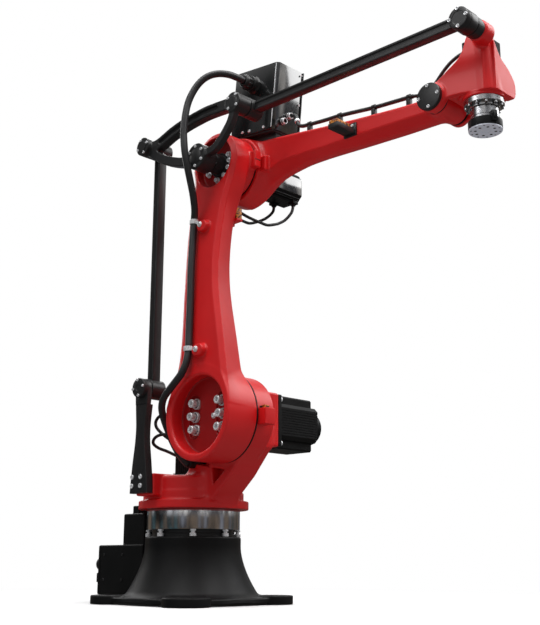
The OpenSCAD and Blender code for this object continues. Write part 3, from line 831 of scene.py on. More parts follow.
for yy in (-66, 20):
    pp.append(rings((-283, yy, 97), (-1, 0, 0), [(19, -1), (19, 3), (17, 3.4), (17, 14), (16, 15), (13, 15), (13, 4)], 40))
    for k in range(3):
        pp.append(rings((-283, yy, 97), (-1, 0, 0), [(5.0, 3.8), (5.0, 7.5), (4.4, 8)], 12))
    pp.append(rbox((-292, yy - 18, 50), (-282, yy + 18, 74), 2.0))
    pp.append(rbox((-294, yy - 13, 55), (-291, yy + 13, 69), 1.2))
part("rear_sockets", pp, "plastic", "base", ["rear_connectors"])
pp = []
for x, z in ((-255, 121), (-178, 121), (-255, 57), (-178, 57)):
    pp += screw((x, -88, z), (0, -1, 0), 3.2, 1.6, n=16)
    pp += screw((x, 88, z), (0, 1, 0), 3.2, 1.6, n=16)
for y, z in ((-76, 134), (76, 134), (-76, 31), (76, 31)):
    pp += screw((-283, y, z), (-1, 0, 0), 3.2, 1.6, n=16)
part("housing_screws", pp, "black", "base")

# ---------------------------------------------------------------- turntable details
BR = [tuple(q) for q in spl([(-46, 267), (-43, 300), (-38, 345), (-31, 392), (-29, 430), (-31, 460), (-34, 500), (-35, 529)], 3)] + \
     [tuple(q) for q in spl([(15, 529), (14, 500), (9, 460), (6, 430), (7, 392), (14, 345), (20, 300), (22, 267)], 3)]
part("bracket_post", [prism([q for q in BR if q[1] < 492], -174, -153, 3.0, 3), prism([q for q in BR if q[1] > 480], -174, -160, 2.0, 2),
                      ylathe(B, [(23, -160), (24.5, -160.6), (25, -162), (25, -183.5), (24, -185.2), (22, -186), (9, -186), (8.4, -185.2), (0.1, -185.2)], 56)], "black", "turntable", ["link_bracket"])


def cap_screws(c, y, rad, r=3.4, h=3.2, a0=45, n=4):
    out = []
    for k in range(n):
        a = math.radians(a0 + 360.0 / n * k)
        out += screw((c[0] + rad * math.cos(a), y, c[1] + rad * math.sin(a)), (0, -1, 0), r, h, n=18)
    return out


pp = []
for x in (-36, -3):
    for z in (285, 307):
        pp += screw((x, -174, z), (0, -1, 0), 6.0, 2.6, wash=None, n=24)
part("bracket_screws", pp + cap_screws(B, -186, 20.0, 3.6, 3.0, 8), "bright", "turntable", ["bracket_bolts"])


def fin_profile(w, ch, nf, depth, gap):
    """Square motor section with cut corners and grooves along each face."""
    h = w / 2.0
    run = h - ch
    side = []
    st = 2 * run / nf
    for k in range(nf):
        s = -run + st * k
        side += [(s, 0.0), (s + st - gap, 0.0), (s + st - gap, -depth), (s + st, -depth)]
    side = side[:-2] + [(run, 0.0)]
    pts = []
    for q in range(4):
        a = math.radians(90 * q)
        for s, d in side:
            x, y = h + d, s
            pts.append((x * math.cos(a) - y * math.sin(a), x * math.sin(a) + y * math.cos(a)))
    return pts


def motor_y(c, w, ch, y0, y1, nf=9, depth=2.2, gap=2.2):
    pts = [(c[0] + p[0], c[1] + p[1]) for p in fin_profile(w, ch, nf, depth, gap)]
    return prism(pts, y0, y1, 0.0)


pp = [rbox((S[0] - 65, 45, S[1] - 65), (S[0] + 65, 57, S[1] + 65), 2.5, 3)]
def ribbed(n, h, depth, gap):
    """One ribbed side, as (along, inward) pairs."""
    st = 2.0 * h / n
    out = []
    for k in range(n):
        s = -h + st * k
        out += [(s, 0.0), (s + st - gap, 0.0), (s + st - gap, depth), (s + st, depth)]
    return out[:-2] + [(h, 0.0)]


def servo_block(hw, hh, ch, n, depth=1.6, gap=1.6):
    """Block section: half width hw with ribbed ends, half height hh, cut corners ch."""
    rb = ribbed(n, hh - ch, depth, gap)
    return [(hw - d, s) for s, d in rb] + [(hw - ch, hh), (-hw + ch, hh)] + [(-hw + d, -s) for s, d in rb] + [(-hw + ch, -hh), (hw - ch, -hh)]


pp.append(prism([(S[0] + u, S[1] + v) for u, v in servo_block(63, 45, 10, 11)], 57, 192, 0.0))
pp.append(prism([(S[0] + v, S[1] + u) for u, v in servo_block(67, 45, 4, 9)][::-1], 57, 186, 0.0))
pp.append(prism([(S[0] + u, S[1] + v) for u, v in servo_block(60, 42, 9, 1)], 186, 194, 1.2))
pp.append(rings((S[0], 0, S[1]), (0, 1, 0), [(46, 192), (46, 196), (42, 197), (42, 229), (40, 232), (34, 233), (32, 233.8), (32, 237), (30, 239), (12, 239), (11, 237.5)], 56))
for k in range(6):
    pp.append(rings((S[0], 0, S[1]), (0, 1, 0), [(41.6, 203 + 4.6 * k), (42.4, 203.4 + 4.6 * k), (42.4, 205.6 + 4.6 * k), (41.6, 206 + 4.6 * k)], 56, cap1=False))
part("shoulder_servo", pp, "motor", "turntable", ["shoulder_motor"])
pp = []
for sx in (-1, 1):
    for sz in (-1, 1):
        pp += screw((S[0] + sx * 54.5, 57, S[1] + sz * 54.5), (0, 1, 0), 6.5, 8.0, wash=8.4)
        pp += screw((S[0] + sx * 50, 194, S[1] + sz * 30), (0, 1, 0), 3.4, 3.0, n=18)
part("servo_screws", pp, "bright", "turntable")

pp = [rbox((-43, -43, 312), (43, 43, 322), 2.0), rbox((-31, -31, 372), (31, 31, 386), 3.0, 3)]
pp.append((lambda vf: (np.stack([vf[0][:, 0], vf[0][:, 2], vf[0][:, 1]], 1), [q[::-1] for q in vf[1]]))(prism(fin_profile(80, 10, 7, 1.6, 2.0), 322, 374, 0.0)))
pp.append(ylathe((11, 362), [(8.5, -38), (8.5, -44), (7.2, -44.6), (7.2, -50), (6.4, -52)], 28))
part("waist_servo", pp, "motor", "turntable", ["waist_motor"])
pp = []
for sx in (-1, 1):
    for sy in (-1, 1):
        pp += screw((sx * 36, sy * 36, 322), (0, 0, 1), 4.0, 4.0, n=18)
part("waist_servo_screws", pp, "bright", "turntable")
part("stop_block", [rbox((284, -70, 418), (329, -38, 457), 2.5, 3), rbox((268, -64, 433), (290, -42, 452), 2.0)], "red", "turntable", ["shoulder_stop"])
part("stop_button", [rbox((313, -66, 454.4), (322, -50, 464), 1.4, 3)], "amber", "turntable")
part("stop_button_base", [rbox((303, -65, 454.4), (313.4, -50, 463), 1.2, 2)], "dark", "turntable")
pp = []
for c, r, y in (((70, 342), 14.0, -84.0), ((88, 362), 7.0, -78.0), ((98, 346), 7.0, -78.0)):
    pp.append(rings((c[0], -66, c[1]), (0, -1, 0), [(r, -14), (r, 5, "hex"), (r * 0.97, 6, "hex"), (r * 0.86, 6), (r * 0.86, -y - 66 - 2), (r * 0.72, -y - 66)], 36))
pp.append(rings((95, -30, 440), (-1, 0, 0), [(8, -6), (8, 6), (7, 7), (7, 15), (6, 17)], 28))
part("cable_glands", pp, "plastic", "turntable", ["waist_glands"])

# ---------------------------------------------------------------- lower arm details
pp = []
for s in (-1, 1):
    for p in ((46, 32), (50, 0), (46, -32)):
        c = (S[0] + s * p[0], S[1] + p[1])
        pp += screw((c[0], -135, c[1]), (0, -1, 0), 10.0, 13.0)
        pp.append(rings((c[0], -124, c[1]), (0, -1, 0), [(13.4, 0), (13.4, 6), (12.6, 7), (10.6, 7), (10.2, 6.4)], 32, cap1=False))
        pp.append(rings((c[0], -124, c[1]), (0, -1, 0), [(7, 0), (7, 12)], 20, cap1=False))
pp += screw((S[0] + 22, -132, S[1] - 3), (0, -1, 0), 5.0, 5.0, wash=7.0)
for a in (-57, -25, 0, 25, 123, 155, 180, 205, 262):
    c = (E[0] + 41.5 * math.cos(math.radians(a)), E[1] + 41.5 * math.sin(math.radians(a)))
    pp += screw((c[0], -107, c[1]), (0, -1, 0), 6.2, 9.0, wash=8.0)
part("arm_screws", pp, "bright", "lower_arm", ["arm_bolts"])
part("rocker_spigot", [ylathe(E, [(32, -100), (32, -108), (31, -109.5), (25.5, -110), (25.5, -135.4), (24.8, -137.2), (23.6, -138), (16, -138), (16, -147)], 64)], "black", "lower_arm", ["rocker_seat"])
pp = []
for k in range(8):
    a = math.radians(22.5 + 45 * k)
    pp += screw((E[0] + 20.2 * math.cos(a), -138, E[1] + 20.2 * math.sin(a)), (0, -1, 0), 3.0, 3.2, n=18)
part("spigot_screws", pp, "bright", "lower_arm")
pp = []
for q in ((151, 938, 177, 926), (164, 605, 195, 600)):
    y0 = yf(q[1])
    c = (q[0], y0 - 11)
    pp.append(rings((c[0], c[1], q[1] - 6), (0, 0, 1), [(9.2, 0), (10.9, 0), (11.4, 0.5), (11.4, 11.5), (10.9, 12), (9.2, 12)], 40, False, False))
    for z1 in (2.5, 6.0, 9.5):
        pp.append(rings((c[0], c[1], q[1] - 6), (0, 0, 1), [(11.4, z1 - 0.8), (11.8, z1 - 0.3), (11.8, z1 + 0.3), (11.4, z1 + 0.8)], 40, False, False))
    pp.append(turn(rbox((q[0] + 7, y0 - 14.0, q[1] - 4.2), (q[2] + 6, y0 - 11.4, q[1] + 4.2), 0.8), (q[0] + 7, 0, q[1]), math.degrees(math.atan2(q[1] - q[3], q[2] - q[0] - 7))))
    pp += screw((q[2], y0 - 14.0, q[3]), (0, -1, 0), 5.4, 6.0, wash=7.4)
part("hose_bands", pp, "bright", "lower_arm", ["hose_clamps"])
part("elbow_stop_bracket", [rbox((190, -77.5, 944), (231, -57, 951), 2.0, 3), rbox((192, -77.5, 936), (206, -60, 946), 2.0)], "red", "lower_arm")
part("elbow_stop_pad", [rbox((188, -77.5, 950), (230, -58, 979), 2.5, 3), rbox((190, -76, 976), (212, -59, 989), 2.5, 3), rbox((193, -60, 956), (217, -56, 976), 1.5)], "amber", "lower_arm", ["elbow_bumper"])
# near-black ring in the gap between the arm's disc and the housing: painted shadow of the seam
part("shoulder_seam_shadow", [ylathe(S, [(100, -70.5), (110.6, -71.2), (110.6, -74.4), (100, -75)], 96)], "dark", "turntable")
part("arm_mark", [rbox((287, -74, 1092), (294.6, -58, 1094.4), 0.4)], "dark", "lower_arm")


# ---------------------------------------------------------------- links
def rod(p, q, y, w, gr=6.5, dp=3.0):
    """Square bar with a channel on both broad faces, from p to q in XZ."""
    h = w / 2
    sec = [(-h, -h), (-gr, -h), (-gr + 1.5, -h + dp), (gr - 1.5, -h + dp), (gr, -h), (h, -h), (h, h), (gr, h), (gr - 1.5, h - dp), (-gr + 1.5, h - dp), (-gr, h), (-h, h)]
    p, q = np.array(p, float), np.array(q, float)
    d = q - p
    ln = np.linalg.norm(d)
    d = d / ln
    nn = np.array([-d[1], d[0]])
    bm = bmesh.new()
    vs = [bm.verts.new((p[0] + nn[0] * a, y + b, p[1] + nn[1] * a)) for a, b in sec]
    f = bm.faces.new(vs)
    ext = bmesh.ops.extrude_face_region(bm, geom=[f])
    for g in ext["geom"]:
        if isinstance(g, bmesh.types.BMVert):
            g.co += Vector((d[0] * ln, 0, d[1] * ln))
    ed = [e for e in bm.edges if abs((e.verts[0].co - e.verts[1].co).length - ln) < 0.01]
    bmesh.ops.bevel(bm, geom=ed, offset=1.0, segments=2, profile=0.6, affect="EDGES")
    return bm_out(bm)


def eye(c, r, y0, y1, n=56):
    """Link eye between stations, y1 nearer the camera side (more negative)."""
    return ylathe(c, [(r - 3, y0), (r - 1, y0 - 0.5), (r, y0 - 1.6), (r, y1 + 1.6), (r - 1, y1 + 0.5), (r - 3, y1), (13.0, y1)], n, True, True)


part("rear_rod", [rod((B[0], B[1] + 18), (L[0], L[1] - 18), -136, 23), eye(B, 25, -114, -158), eye(L, 25, -114, -158)], "black", "vertical_link", ["vertical_link"])
dth = unit((H[0] - T[0], H[1] - T[1]))
part("front_rod", [rod((T[0] + 18 * dth[0], T[1] + 18 * dth[1]), (H[0] - 18 * dth[0], H[1] - 18 * dth[1]), -122, 23),
                   eye(T, 25, -100, -144), ylathe(H, [(21, -100), (23, -100.5), (24, -102), (24, -126), (23.4, -126.6), (23.4, -128), (24, -128.6), (24, -141), (23, -142.6), (21, -143), (15, -143), (14, -142.2), (0.1, -142.2)], 56)], "black", "upper_link", ["upper_link"])
part("front_rod_screws", cap_screws(H, -143, 20.0, 3.8, 3.0, 0), "bright", "upper_link")
part("rear_rod_nut", [rings((B[0], -114, B[1]), (0, 1, 0), [(14, 0, "hex"), (14, 6, "hex"), (12, 7)], 24), rings((L[0], -114, L[1]), (0, 1, 0), [(14, 0, "hex"), (14, 6, "hex"), (12, 7)], 24)], "black", "vertical_link")
part("front_rod_nut", [rings((T[0], -100, T[1]), (0, 1, 0), [(14, 0, "hex"), (14, 6, "hex"), (12, 7)], 24)], "black", "upper_link")
pp = cap_screws(E, -190, 26, 3.8, 3.0, 30, 6) + cap_screws(L, -200, 19.5, 3.4, 3.0, 20) + cap_screws(T, -188, 19.5, 3.6, 3.0, 50)
part("rocker_screws", pp, "bright", "rocker")
part("rocker_caps", [ylathe(E, [(21, -189.5), (21, -190.8), (20, -191.4), (0.1, -191.4)], 48), ylathe(L, [(14, -199.5), (14, -200.8), (13.2, -201.4), (0.1, -201.4)], 40), ylathe(T, [(14, -187.5), (14, -188.8), (13.2, -189.4), (0.1, -189.4)], 40)], "black", "rocker")


# ---------------------------------------------------------------- forearm details
def boxed(vf):
    v, f = vf
    return turn((np.asarray(v) + np.array(BOXO), f), BOXO, BOXA)


v, f = prism([(0, -50), (149, -50), (156, -43), (156, 44), (0, 44)], 19, 200, 1.0, 2, True)
pp = [boxed((np.stack([v[:, 0], v[:, 2], v[:, 1]], 1), [q[::-1] for q in f])), boxed(rbox((1, 43, 20), (159, 46, 200), 0.8))]
part("control_box", pp, "sheet", "forearm", ["elbow_box"])
part("box_plinth", [boxed(rbox((14, -31, -30), (150, 31, 19.4), 1.6)), boxed(rbox((4, -46, 14), (153, 42, 20), 1.0))], "black", "forearm")
# thin bright rod along the box's front vertical corner: painted highlight line on that edge
part("box_edge_highlight", [boxed(rings((149, -49.9, 24), (0, 0, 1), [(0.9, 0), (0.9, 172)], 8, True))], "bright", "forearm")
pp = []
for x, z in ((44, 28), (70, 27), (122, 28)):
    v, f = join(screw((x, -50, z), (0, -1, 0), 3.6, 2.4, n=18))
    pp.append(boxed((v, f)))
for x, z in ((14, 188), (144, 188), (14, 30), (144, 30), (14, 110), (144, 110)):
    v, f = join(screw((x, 46, z), (0, 1, 0), 3.2, 2.0, n=16))
    pp.append(boxed((v, f)))
for y, z in ((-38, 190), (36, 190), (-38, 108), (36, 108)):
    v, f = join(screw((158, y, z), (1, 0, 0), 2.6, 1.4, n=16))
    if z > 0 and y > 0:
        pp.append(boxed((v, f)))
part("box_screws", pp, "bright", "forearm")
G = (262, 1315)
pp = [rings((G[0], -50, G[1]), (0, -1, 0), [(24, -1), (24, 5, "hex"), (23, 6, "hex"), (21, 6), (21, 17), (20, 18), (17, 18), (17, 20), (18.4, 20.6), (18.4, 33), (17, 36), (14.5, 39.4), (12.6, 40), (9.6, 40), (9.4, 34)], 48)]
for k in range(12):
    a = 2 * math.pi * k / 12
    c = (G[0] + 18.3 * math.cos(a), G[1] + 18.3 * math.sin(a))
    pp.append(rbox((c[0] - 1.6, -83, c[1] - 1.6), (c[0] + 1.6, -71, c[1] + 1.6), 0.8))
part("hose_gland", pp, "plastic", "forearm", ["box_gland"])
pp, p2 = [], []
for y, z in ((-20, 45), (0, 65)):
    p2.append(boxed(rings((156, y, z), (1, 0, 0), [(10.5, -1), (10.5, 3, "hex"), (10, 4, "hex"), (8.2, 4), (8.2, 9), (7.6, 9.4), (7.6, 12.4), (4.6, 12.4), (4.2, 8)], 36)))
    pp.append(boxed(rings((156, y, z), (1, 0, 0), [(7.4, 9.6), (8.4, 10), (8.4, 13.4), (8.0, 14), (6.4, 14), (6.0, 13)], 36, cap1=False)))
    pp.append(boxed(rings((156, y, z), (1, 0, 0), [(8.0, 4.4), (8.8, 4.8), (8.8, 6.2), (8.0, 6.6)], 36, cap1=False)))
part("box_sockets", pp, "bright", "forearm", ["box_connectors"])
part("socket_inserts", p2, "plastic", "forearm")
part("lead_ferrule", [rings((374, -5, 1193), (0.4, -0.12, -0.9), [(6.4, -4), (6.8, -3.4), (6.8, 3.4), (6.4, 4)], 28, True, True)], "bright", "forearm")
CM = (195, 1094)
pp = [rbox((CM[0] - 45, 18, CM[1] - 45), (CM[0] + 45, 30, CM[1] + 45), 2.5, 3)]
pp.append(prism([(CM[0] + u, CM[1] + v) for u, v in [(42, -24), (42, 24), (31, 35), (-31, 35), (-42, 24), (-42, -24), (-31, -35), (31, -35)]], 30, 158, 1.0))
pp.append(prism([(CM[0] + v, CM[1] + u) for u, v in servo_block(42, 27, 4, 6, 1.4, 1.4)][::-1], 30, 156, 0.0))
for s1 in (-1, 1):
    for s2 in (-1, 1):
        for q in (0.0, 4.2):
            pp.append(rbox((CM[0] + s1 * (35.6 - q) - 1.2, 31, CM[1] + s2 * (31.6 + q) - 1.2), (CM[0] + s1 * (35.6 - q) + 1.2, 157, CM[1] + s2 * (31.6 + q) + 1.2), 0.7))
pp.append(prism([(CM[0] + u, CM[1] + v) for u, v in [(38, -22), (38, 22), (22, 38), (-22, 38), (-38, 22), (-38, -22), (-22, -38), (22, -38)]], 156, 164, 1.6))
for cx, cyy in ((174, 115), (216, 147)):
    pp.append(rbox((cx - 10, cyy - 10, 1048), (cx + 10, cyy + 10, 1060), 2.0))
    pp.append(zlathe((cx, cyy), [(5.6, 1043.6), (6.6, 1044.4), (6.6, 1047), (8.6, 1047.6), (8.6, 1052)], 28))
part("elbow_servo", pp, "motor", "forearm", ["elbow_motor"])
part("elbow_servo_cover", [rbox((CM[0] + 41, 32, CM[1] - 23), (CM[0] + 43, 157, CM[1] + 23), 0.6)], "sheet", "forearm")
pp = []
for sx in (-1, 1):
    for sz in (-1, 1):
        pp += screw((CM[0] + sx * 38, 30, CM[1] + sz * 38), (0, 1, 0), 4.6, 5.0, n=18)
        pp += screw((CM[0] + sx * 26, 164, CM[1] + sz * 26), (0, 1, 0), 2.8, 2.0, n=16)
part("elbow_servo_screws", pp, "bright", "forearm")
pp, p2 = [], []
for x, zt, zc in ((422, 1137, 1167), (521, 1127, 1158), (626, 1115, 1144), (728, 1105, 1135)):
    pp.append(rbox((x - 5, -16, zt - 4), (x + 5, -4, zc - 4.5), 1.2))
    pp.append(rbox((x - 8, -19, zt - 3), (x + 8, 1, zt + 3), 1.0))
    pp.append(rings((x - 5, -10, zc), (1, 0, 0), [(5.1, 0), (6.6, 0), (7.0, 0.5), (7.0, 9.5), (6.6, 10), (5.1, 10)], 28, False, False))
    p2 += screw((x, -17.6, zt + 3), (0, 0, 1), 2.0, 1.6, n=14)
part("lead_clips", pp, "plastic", "forearm", ["cable_clips"])
part("stop_bracket", [rbox((560, -101, 1080), (590, -34, 1092), 1.6), rbox((556, -40, 1076), (594, -35.4, 1108), 1.2)], "black", "forearm", ["stop_arm"])
part("stop_cushion", [rbox((562, -100, 1091.6), (588, -50, 1100), 2.0, 3)], "amber", "forearm", ["stop_pad"])
part("stop_screws", screw((584, -40, 1101), (0, -1, 0), 3.6, 3.0, n=18) + screw((566, -40, 1101), (0, -1, 0), 3.6, 3.0, n=18) + p2, "bright", "forearm")
part("wrist_seal", [ylathe(W, [(28, -37.5), (30.4, -38), (30.4, -42.8), (28, -43.1), (20, -43.1)], 56), rings((W[0], 38, W[1]), (0, 1, 0), [(28, -0.5), (30.4, 0), (30.4, 4.8), (28, 5.1), (20, 5.1)], 56)], "dark", "forearm")
# near-black ring in the gap between the forearm drum and the arm's end: painted shadow of the seam
part("elbow_seam_shadow", [ylathe(E, [(80, -51.6), (80, -54.2)], 72)], "dark", "forearm")

# ---------------------------------------------------------------- wrist details
part("wrist_cover", [ylathe(W, [(30.4, -61.5), (31, -62.4), (31, -69.6), (30.2, -70.7), (29, -71), (0.1, -71)], 64), rings((W[0], 42.6, W[1]), (0, 1, 0), [(20, 15), (20, 17.4), (19, 18.4), (6, 18.4), (5.4, 17.6)], 40),
                     ylathe(H, [(20, -72.5), (20.6, -73), (20.6, -80), (22.4, -80.6), (22.4, -97), (21.6, -97.8)], 56)], "black", "wrist_head", ["wrist_caps"])
part("wrist_cover_screws", cap_screws(W, -71, 24.5, 3.8, 3.0, 2), "bright", "wrist_head")
pp = [rbox((887, -30, 1094), (947, 30, 1202), 2.5, 3), zlathe((917, 0), [(26, 1201), (26, 1203), (24, 1204), (24, 1207), (22.6, 1208), (8, 1208)], 40)]
pp += [rbox((884.6, -26 + 8.6 * k, 1100), (888, -21 + 8.6 * k, 1180), 0.8) for k in range(7)]
pp.append(rbox((880, -13, 1184), (890, 3, 1199), 1.6))
part("wrist_servo", pp, "servo", "wrist_head", ["wrist_motor"])
CF = (917, 0)
pp = [zlathe(CF, [(30, 1042.6), (33.4, 1042.6), (34.2, 1043.4), (34.2, 1049.6), (42.2, 1049.6), (43.2, 1050.6), (43.2, 1066)], 120)]
part("wrist_gear", pp, "gear", "wrist_head", ["wrist_reducer"])
pp = []
for k in range(12):
    a = math.radians(9 + 30.0 * k)
    pp += screw((CF[0] + 38.8 * math.cos(a), 38.8 * math.sin(a), 1050.0), (0, 0, -1), 3.3, 5.6, n=20)
part("wrist_gear_screws", pp, "gear", "wrist_head")
part("flange_shaft", [zlathe(CF, [(20, 1014), (30.5, 1014), (30.5, 1022), (29.8, 1022.6), (29.8, 1024), (30.5, 1024.6), (30.5, 1041.4), (29.6, 1042.2), (20, 1042.2)], 72)], "gear", "tool_flange", ["flange_neck"])
pp = [zlathe(CF, [(34, 996.6), (36.4, 996.8), (36.6, 997.4), (36.6, 1014.6), (35.6, 1016), (27, 1016)], 80)]
pp.append(turn(rbox((CF[0] - 6, -42, 1002), (CF[0] + 6, -30, 1026), 1.4), (917, 0, 0), 62, "Z"))
pp.append(turn(rbox((CF[0] - 4, -44, 1008), (CF[0] + 4, -40, 1020), 1.0), (917, 0, 0), 62, "Z"))
part("flange_collar", pp, "motor", "tool_flange", ["flange_ring"])


def f_tool(P):
    x, y, z = P
    f = cz(P, CF, 36.2, 994, 1001.2, 0.6)
    for k in range(8):
        a = math.radians(45 * k)
        f = smax(f, -(np.hypot(x - CF[0] - 22 * math.cos(a), y - 22 * math.sin(a)) - 3.0), 0.8)
    for k in range(10):
        a = math.radians(36 * k + 9)
        f = smax(f, -smax(np.hypot(x - CF[0] - 31 * math.cos(a), y - 31 * math.sin(a)) - 2.1, z - 998.0, 0.5), 0.5)
    f = smax(f, -smax(np.hypot(x - CF[0], y) - 10.0, z - 995.2, 0.5), 0.6)
    return f


casting("tool_face_plate", f_tool, (878, -39, 991), (956, 39, 1004), 0.8, "plate", "tool_flange", ["tool_plate"])
part("tool_hole_liners", [zlathe((CF[0] + 22 * math.cos(math.radians(45 * k)), 22 * math.sin(math.radians(45 * k))), [(0.1, 995.2), (2.0, 995.2), (2.2, 994.3), (3.5, 994.3), (3.5, 997.4)], 20) for k in range(8)], "hole", "tool_flange")
# near-black cups in the pin holes: painted shade at the bottom of the holes
part("tool_pin_hole_shade", [zlathe((CF[0] + 31 * math.cos(math.radians(36 * k + 9)), 31 * math.sin(math.radians(36 * k + 9))), [(0.1, 994.5), (2.4, 994.5), (2.4, 996.8)], 16) for k in range(10)], "dark", "tool_flange")

# every node still showing gets a node-built finish
KEY = {v: k for k, v in SLOT.items() if k not in ("red_painted_shade", "dark", "hole", "gear")}
for s in frame["record"]["subparts"]:
    o = N[s["node"]]
    o.data.materials.clear()
    o.data.materials.append(M[KEY[s["material_slot"]]])

# ---------------------------------------------------------------- floor, light
bm = bmesh.new()
bmesh.ops.create_circle(bm, cap_ends=True, radius=40.0, segments=96)
me = bpy.data.meshes.new("floor")
bm.to_mesh(me)
bm.free()
floor = bpy.data.objects.new("floor", me)
bpy.context.scene.collection.objects.link(floor)
mat, nt, bs = new_mat("pale_floor")
n1 = noise(nt, 1.2, 3.0)
col = ramp(nt, n1.outputs["Fac"], [(0.3, (0.88, 0.88, 0.885)), (0.7, (0.90, 0.90, 0.905))])
nt.links.new(col.outputs["Color"], bs.inputs["Base Color"])
nt.links.new(maprange(nt, n1.outputs["Fac"], 0.3, 0.7, 0.6, 0.7), bs.inputs["Roughness"])
bs.inputs["Specular IOR Level"].default_value = 0.1
tcf = node(nt, "ShaderNodeTexCoord")
lenf = node(nt, "ShaderNodeVectorMath", operation="LENGTH")
nt.links.new(tcf.outputs["Object"], lenf.inputs[0])
far = node(nt, "ShaderNodeMapRange", interpolation_type="SMOOTHSTEP")
for i, v in enumerate((0.35, 1.5, 0.0, 1.0)):
    far.inputs[i + 1].default_value = v
nt.links.new(lenf.outputs["Value"], far.inputs[0])
glow = node(nt, "ShaderNodeEmission")
glow.inputs["Color"].default_value = (1.0, 1.0, 1.0, 1.0)
glow.inputs["Strength"].default_value = 1.0
mixf = node(nt, "ShaderNodeMixShader")
nt.links.new(far.outputs[0], mixf.inputs[0])
nt.links.new(bs.outputs["BSDF"], mixf.inputs[1])
nt.links.new(glow.outputs[0], mixf.inputs[2])
nt.links.new(mixf.outputs[0], [q for q in nt.nodes if q.type == "OUTPUT_MATERIAL"][0].inputs["Surface"])
floor.visible_glossy = False
floor.visible_diffuse = False
me.materials.append(mat)


def area(name, loc, target, size, energy, color=(1, 1, 1), sy=None, spread=None):
    d = bpy.data.lights.new(name, "AREA")
    d.energy = energy
    d.color = color
    d.shape = "RECTANGLE"
    d.size = size
    d.size_y = sy or size
    o = bpy.data.objects.new(name, d)
    o.location = loc
    o.rotation_mode = "QUATERNION"
    o.rotation_quaternion = (Vector(target) - Vector(loc)).to_track_quat("-Z", "Y")
    bpy.context.scene.collection.objects.link(o)
    if spread:
        d.spread = math.radians(spread)
    o.visible_camera = False
    return o


C0 = (0.3, 0.0, 0.7)
area("key_card", (2.20, 4.20, 4.0), (0.35, 0.0, 0.9), 3.44, 92, sy=2.3)
area("front_high", (0.7, -2.2, 5.0), (0.3, 0.0, 0.7), 2.8, 74)
area("front_card", (-1.24, -4.23, 3.6), (0.6, 0.0, 1.0), 1.5, 11, sy=1.2)
area("top_front", (0.6, -1.1, 5.6), (0.4, 0.0, 1.0), 2.4, 70)
area("right_fill", (2.84, 0.45, 4.5), (0.4, 0.0, 0.8), 2.2, 140)
lamp = bpy.data.lights.new("wrist_spot", "SPOT")
lamp.energy, lamp.spot_size, lamp.spot_blend, lamp.shadow_soft_size = 150.0, math.radians(19.0), 1.0, 0.5
spot = bpy.data.objects.new("wrist_spot", lamp)
spot.location = (0.1, -2.9, 3.4)
spot.rotation_euler = (Vector((0.80, 0.0, 1.14)) - Vector(spot.location)).to_track_quat("-Z", "Y").to_euler()
bpy.context.scene.collection.objects.link(spot)
area("rim_card", (-2.74, 2.13, 4.25), (0.3, 0.0, 1.0), 2.5, 78, sy=2.0)
area("left_soft", (-3.6, 0.4, 2.4), (0.0, 0.0, 0.8), 2.0, 30)

world = bpy.data.worlds.new("studio")
bpy.context.scene.world = world
world.use_nodes = True
nt = world.node_tree
nt.nodes.clear()
out = nt.nodes.new("ShaderNodeOutputWorld")
tc = node(nt, "ShaderNodeTexCoord")
sep = node(nt, "ShaderNodeSeparateXYZ")
nt.links.new(tc.outputs["Generated"], sep.inputs[0])
grad = ramp(nt, maprange(nt, sep.outputs["Z"], -1.0, 1.0, 0.0, 1.0), [(0.0, (0.8, 0.8, 0.8)), (0.48, (0.55, 0.55, 0.55)), (0.6, (0.5, 0.5, 0.5)), (1.0, (0.8, 0.8, 0.8))])
gloss = ramp(nt, maprange(nt, sep.outputs["Z"], -1.0, 1.0, 0.0, 1.0), [(0.0, (0.02, 0.02, 0.02)), (0.46, (0.05, 0.05, 0.05)), (0.62, (0.12, 0.12, 0.12)), (0.8, (0.35, 0.35, 0.35)), (1.0, (0.7, 0.7, 0.7))])
mp = node(nt, "ShaderNodeMapping")
mp.inputs["Scale"].default_value = (5.0, 5.0, 0.35)
nt.links.new(tc.outputs["Generated"], mp.inputs["Vector"])
nz = node(nt, "ShaderNodeTexNoise")
nz.inputs["Scale"].default_value = 0.55
nz.inputs["Detail"].default_value = 3.0
nt.links.new(mp.outputs["Vector"], nz.inputs["Vector"])
bands = ramp(nt, nz.outputs["Fac"], [(0.28, (0.01, 0.015, 0.018)), (0.38, (0.07, 0.13, 0.145)), (0.45, (0.02, 0.02, 0.022)), (0.52, (0.20, 0.15, 0.11)), (0.58, (0.03, 0.03, 0.033)), (0.64, (0.20, 0.21, 0.25)), (0.8, (0.4, 0.4, 0.42))])
low = maprange(nt, sep.outputs["Z"], 0.08, 0.20, 1.0, 0.0)
streak = ramp(nt, nz.outputs["Fac"], [(0.36, (0.03, 0.035, 0.04)), (0.42, (0.9, 0.9, 0.92)), (0.47, (0.06, 0.06, 0.065)), (0.54, (0.10, 0.10, 0.11)), (0.58, (1.2, 1.15, 1.1)), (0.63, (0.08, 0.08, 0.09))])
mid = maprange(nt, sep.outputs["Z"], 0.40, 0.60, 1.0, 0.0)
mxs = node(nt, "ShaderNodeMix", data_type="RGBA")
nt.links.new(mid, mxs.inputs[0])
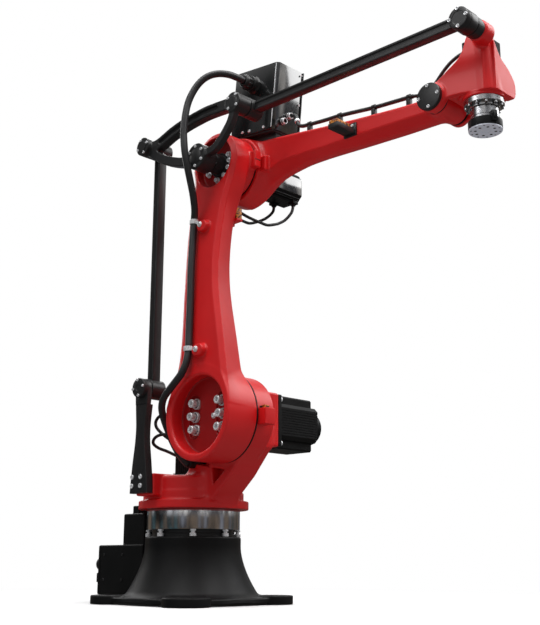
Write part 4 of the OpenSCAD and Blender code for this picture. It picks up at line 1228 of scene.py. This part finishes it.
nt.links.new(gloss.outputs["Color"], mxs.inputs[6])
nt.links.new(streak.outputs["Color"], mxs.inputs[7])
mxb = node(nt, "ShaderNodeMix", data_type="RGBA")
nt.links.new(low, mxb.inputs[0])
nt.links.new(mxs.outputs[2], mxb.inputs[6])
nt.links.new(bands.outputs["Color"], mxb.inputs[7])
lp = node(nt, "ShaderNodeLightPath")
bg_refl = node(nt, "ShaderNodeBackground")
# black flag where the camera-side faces look
dotf = node(nt, "ShaderNodeVectorMath", operation="DOT_PRODUCT")
nt.links.new(tc.outputs["Generated"], dotf.inputs[0])
dotf.inputs[1].default_value = (-0.680, -0.680, 0.276)
flag = maprange(nt, dotf.outputs["Value"], 0.90, 0.965, 1.0, 0.12)
mxf = node(nt, "ShaderNodeMix", data_type="RGBA", blend_type="MULTIPLY")
mxf.inputs[0].default_value = 1.0
nt.links.new(mxb.outputs[2], mxf.inputs[6])
nt.links.new(flag, mxf.inputs[7])
nt.links.new(mxf.outputs[2], bg_refl.inputs["Color"])
bg_refl.inputs["Strength"].default_value = 1.0
bg_soft = node(nt, "ShaderNodeBackground")
nt.links.new(grad.outputs["Color"], bg_soft.inputs["Color"])
bg_soft.inputs["Strength"].default_value = 0.62
bg_cam = node(nt, "ShaderNodeBackground")
bg_cam.inputs["Color"].default_value = (1.0, 1.0, 1.0, 1)
bg_cam.inputs["Strength"].default_value = 1.0
m1 = node(nt, "ShaderNodeMixShader")
nt.links.new(lp.outputs["Is Glossy Ray"], m1.inputs[0])
nt.links.new(bg_soft.outputs[0], m1.inputs[1])
nt.links.new(bg_refl.outputs[0], m1.inputs[2])
m2 = node(nt, "ShaderNodeMixShader")
nt.links.new(lp.outputs["Is Camera Ray"], m2.inputs[0])
nt.links.new(m1.outputs[0], m2.inputs[1])
nt.links.new(bg_cam.outputs[0], m2.inputs[2])
nt.links.new(m2.outputs[0], out.inputs["Surface"])

vs = bpy.context.scene.view_settings
vs.view_transform = "Standard"
vs.look = "None"
vs.exposure = 0.0
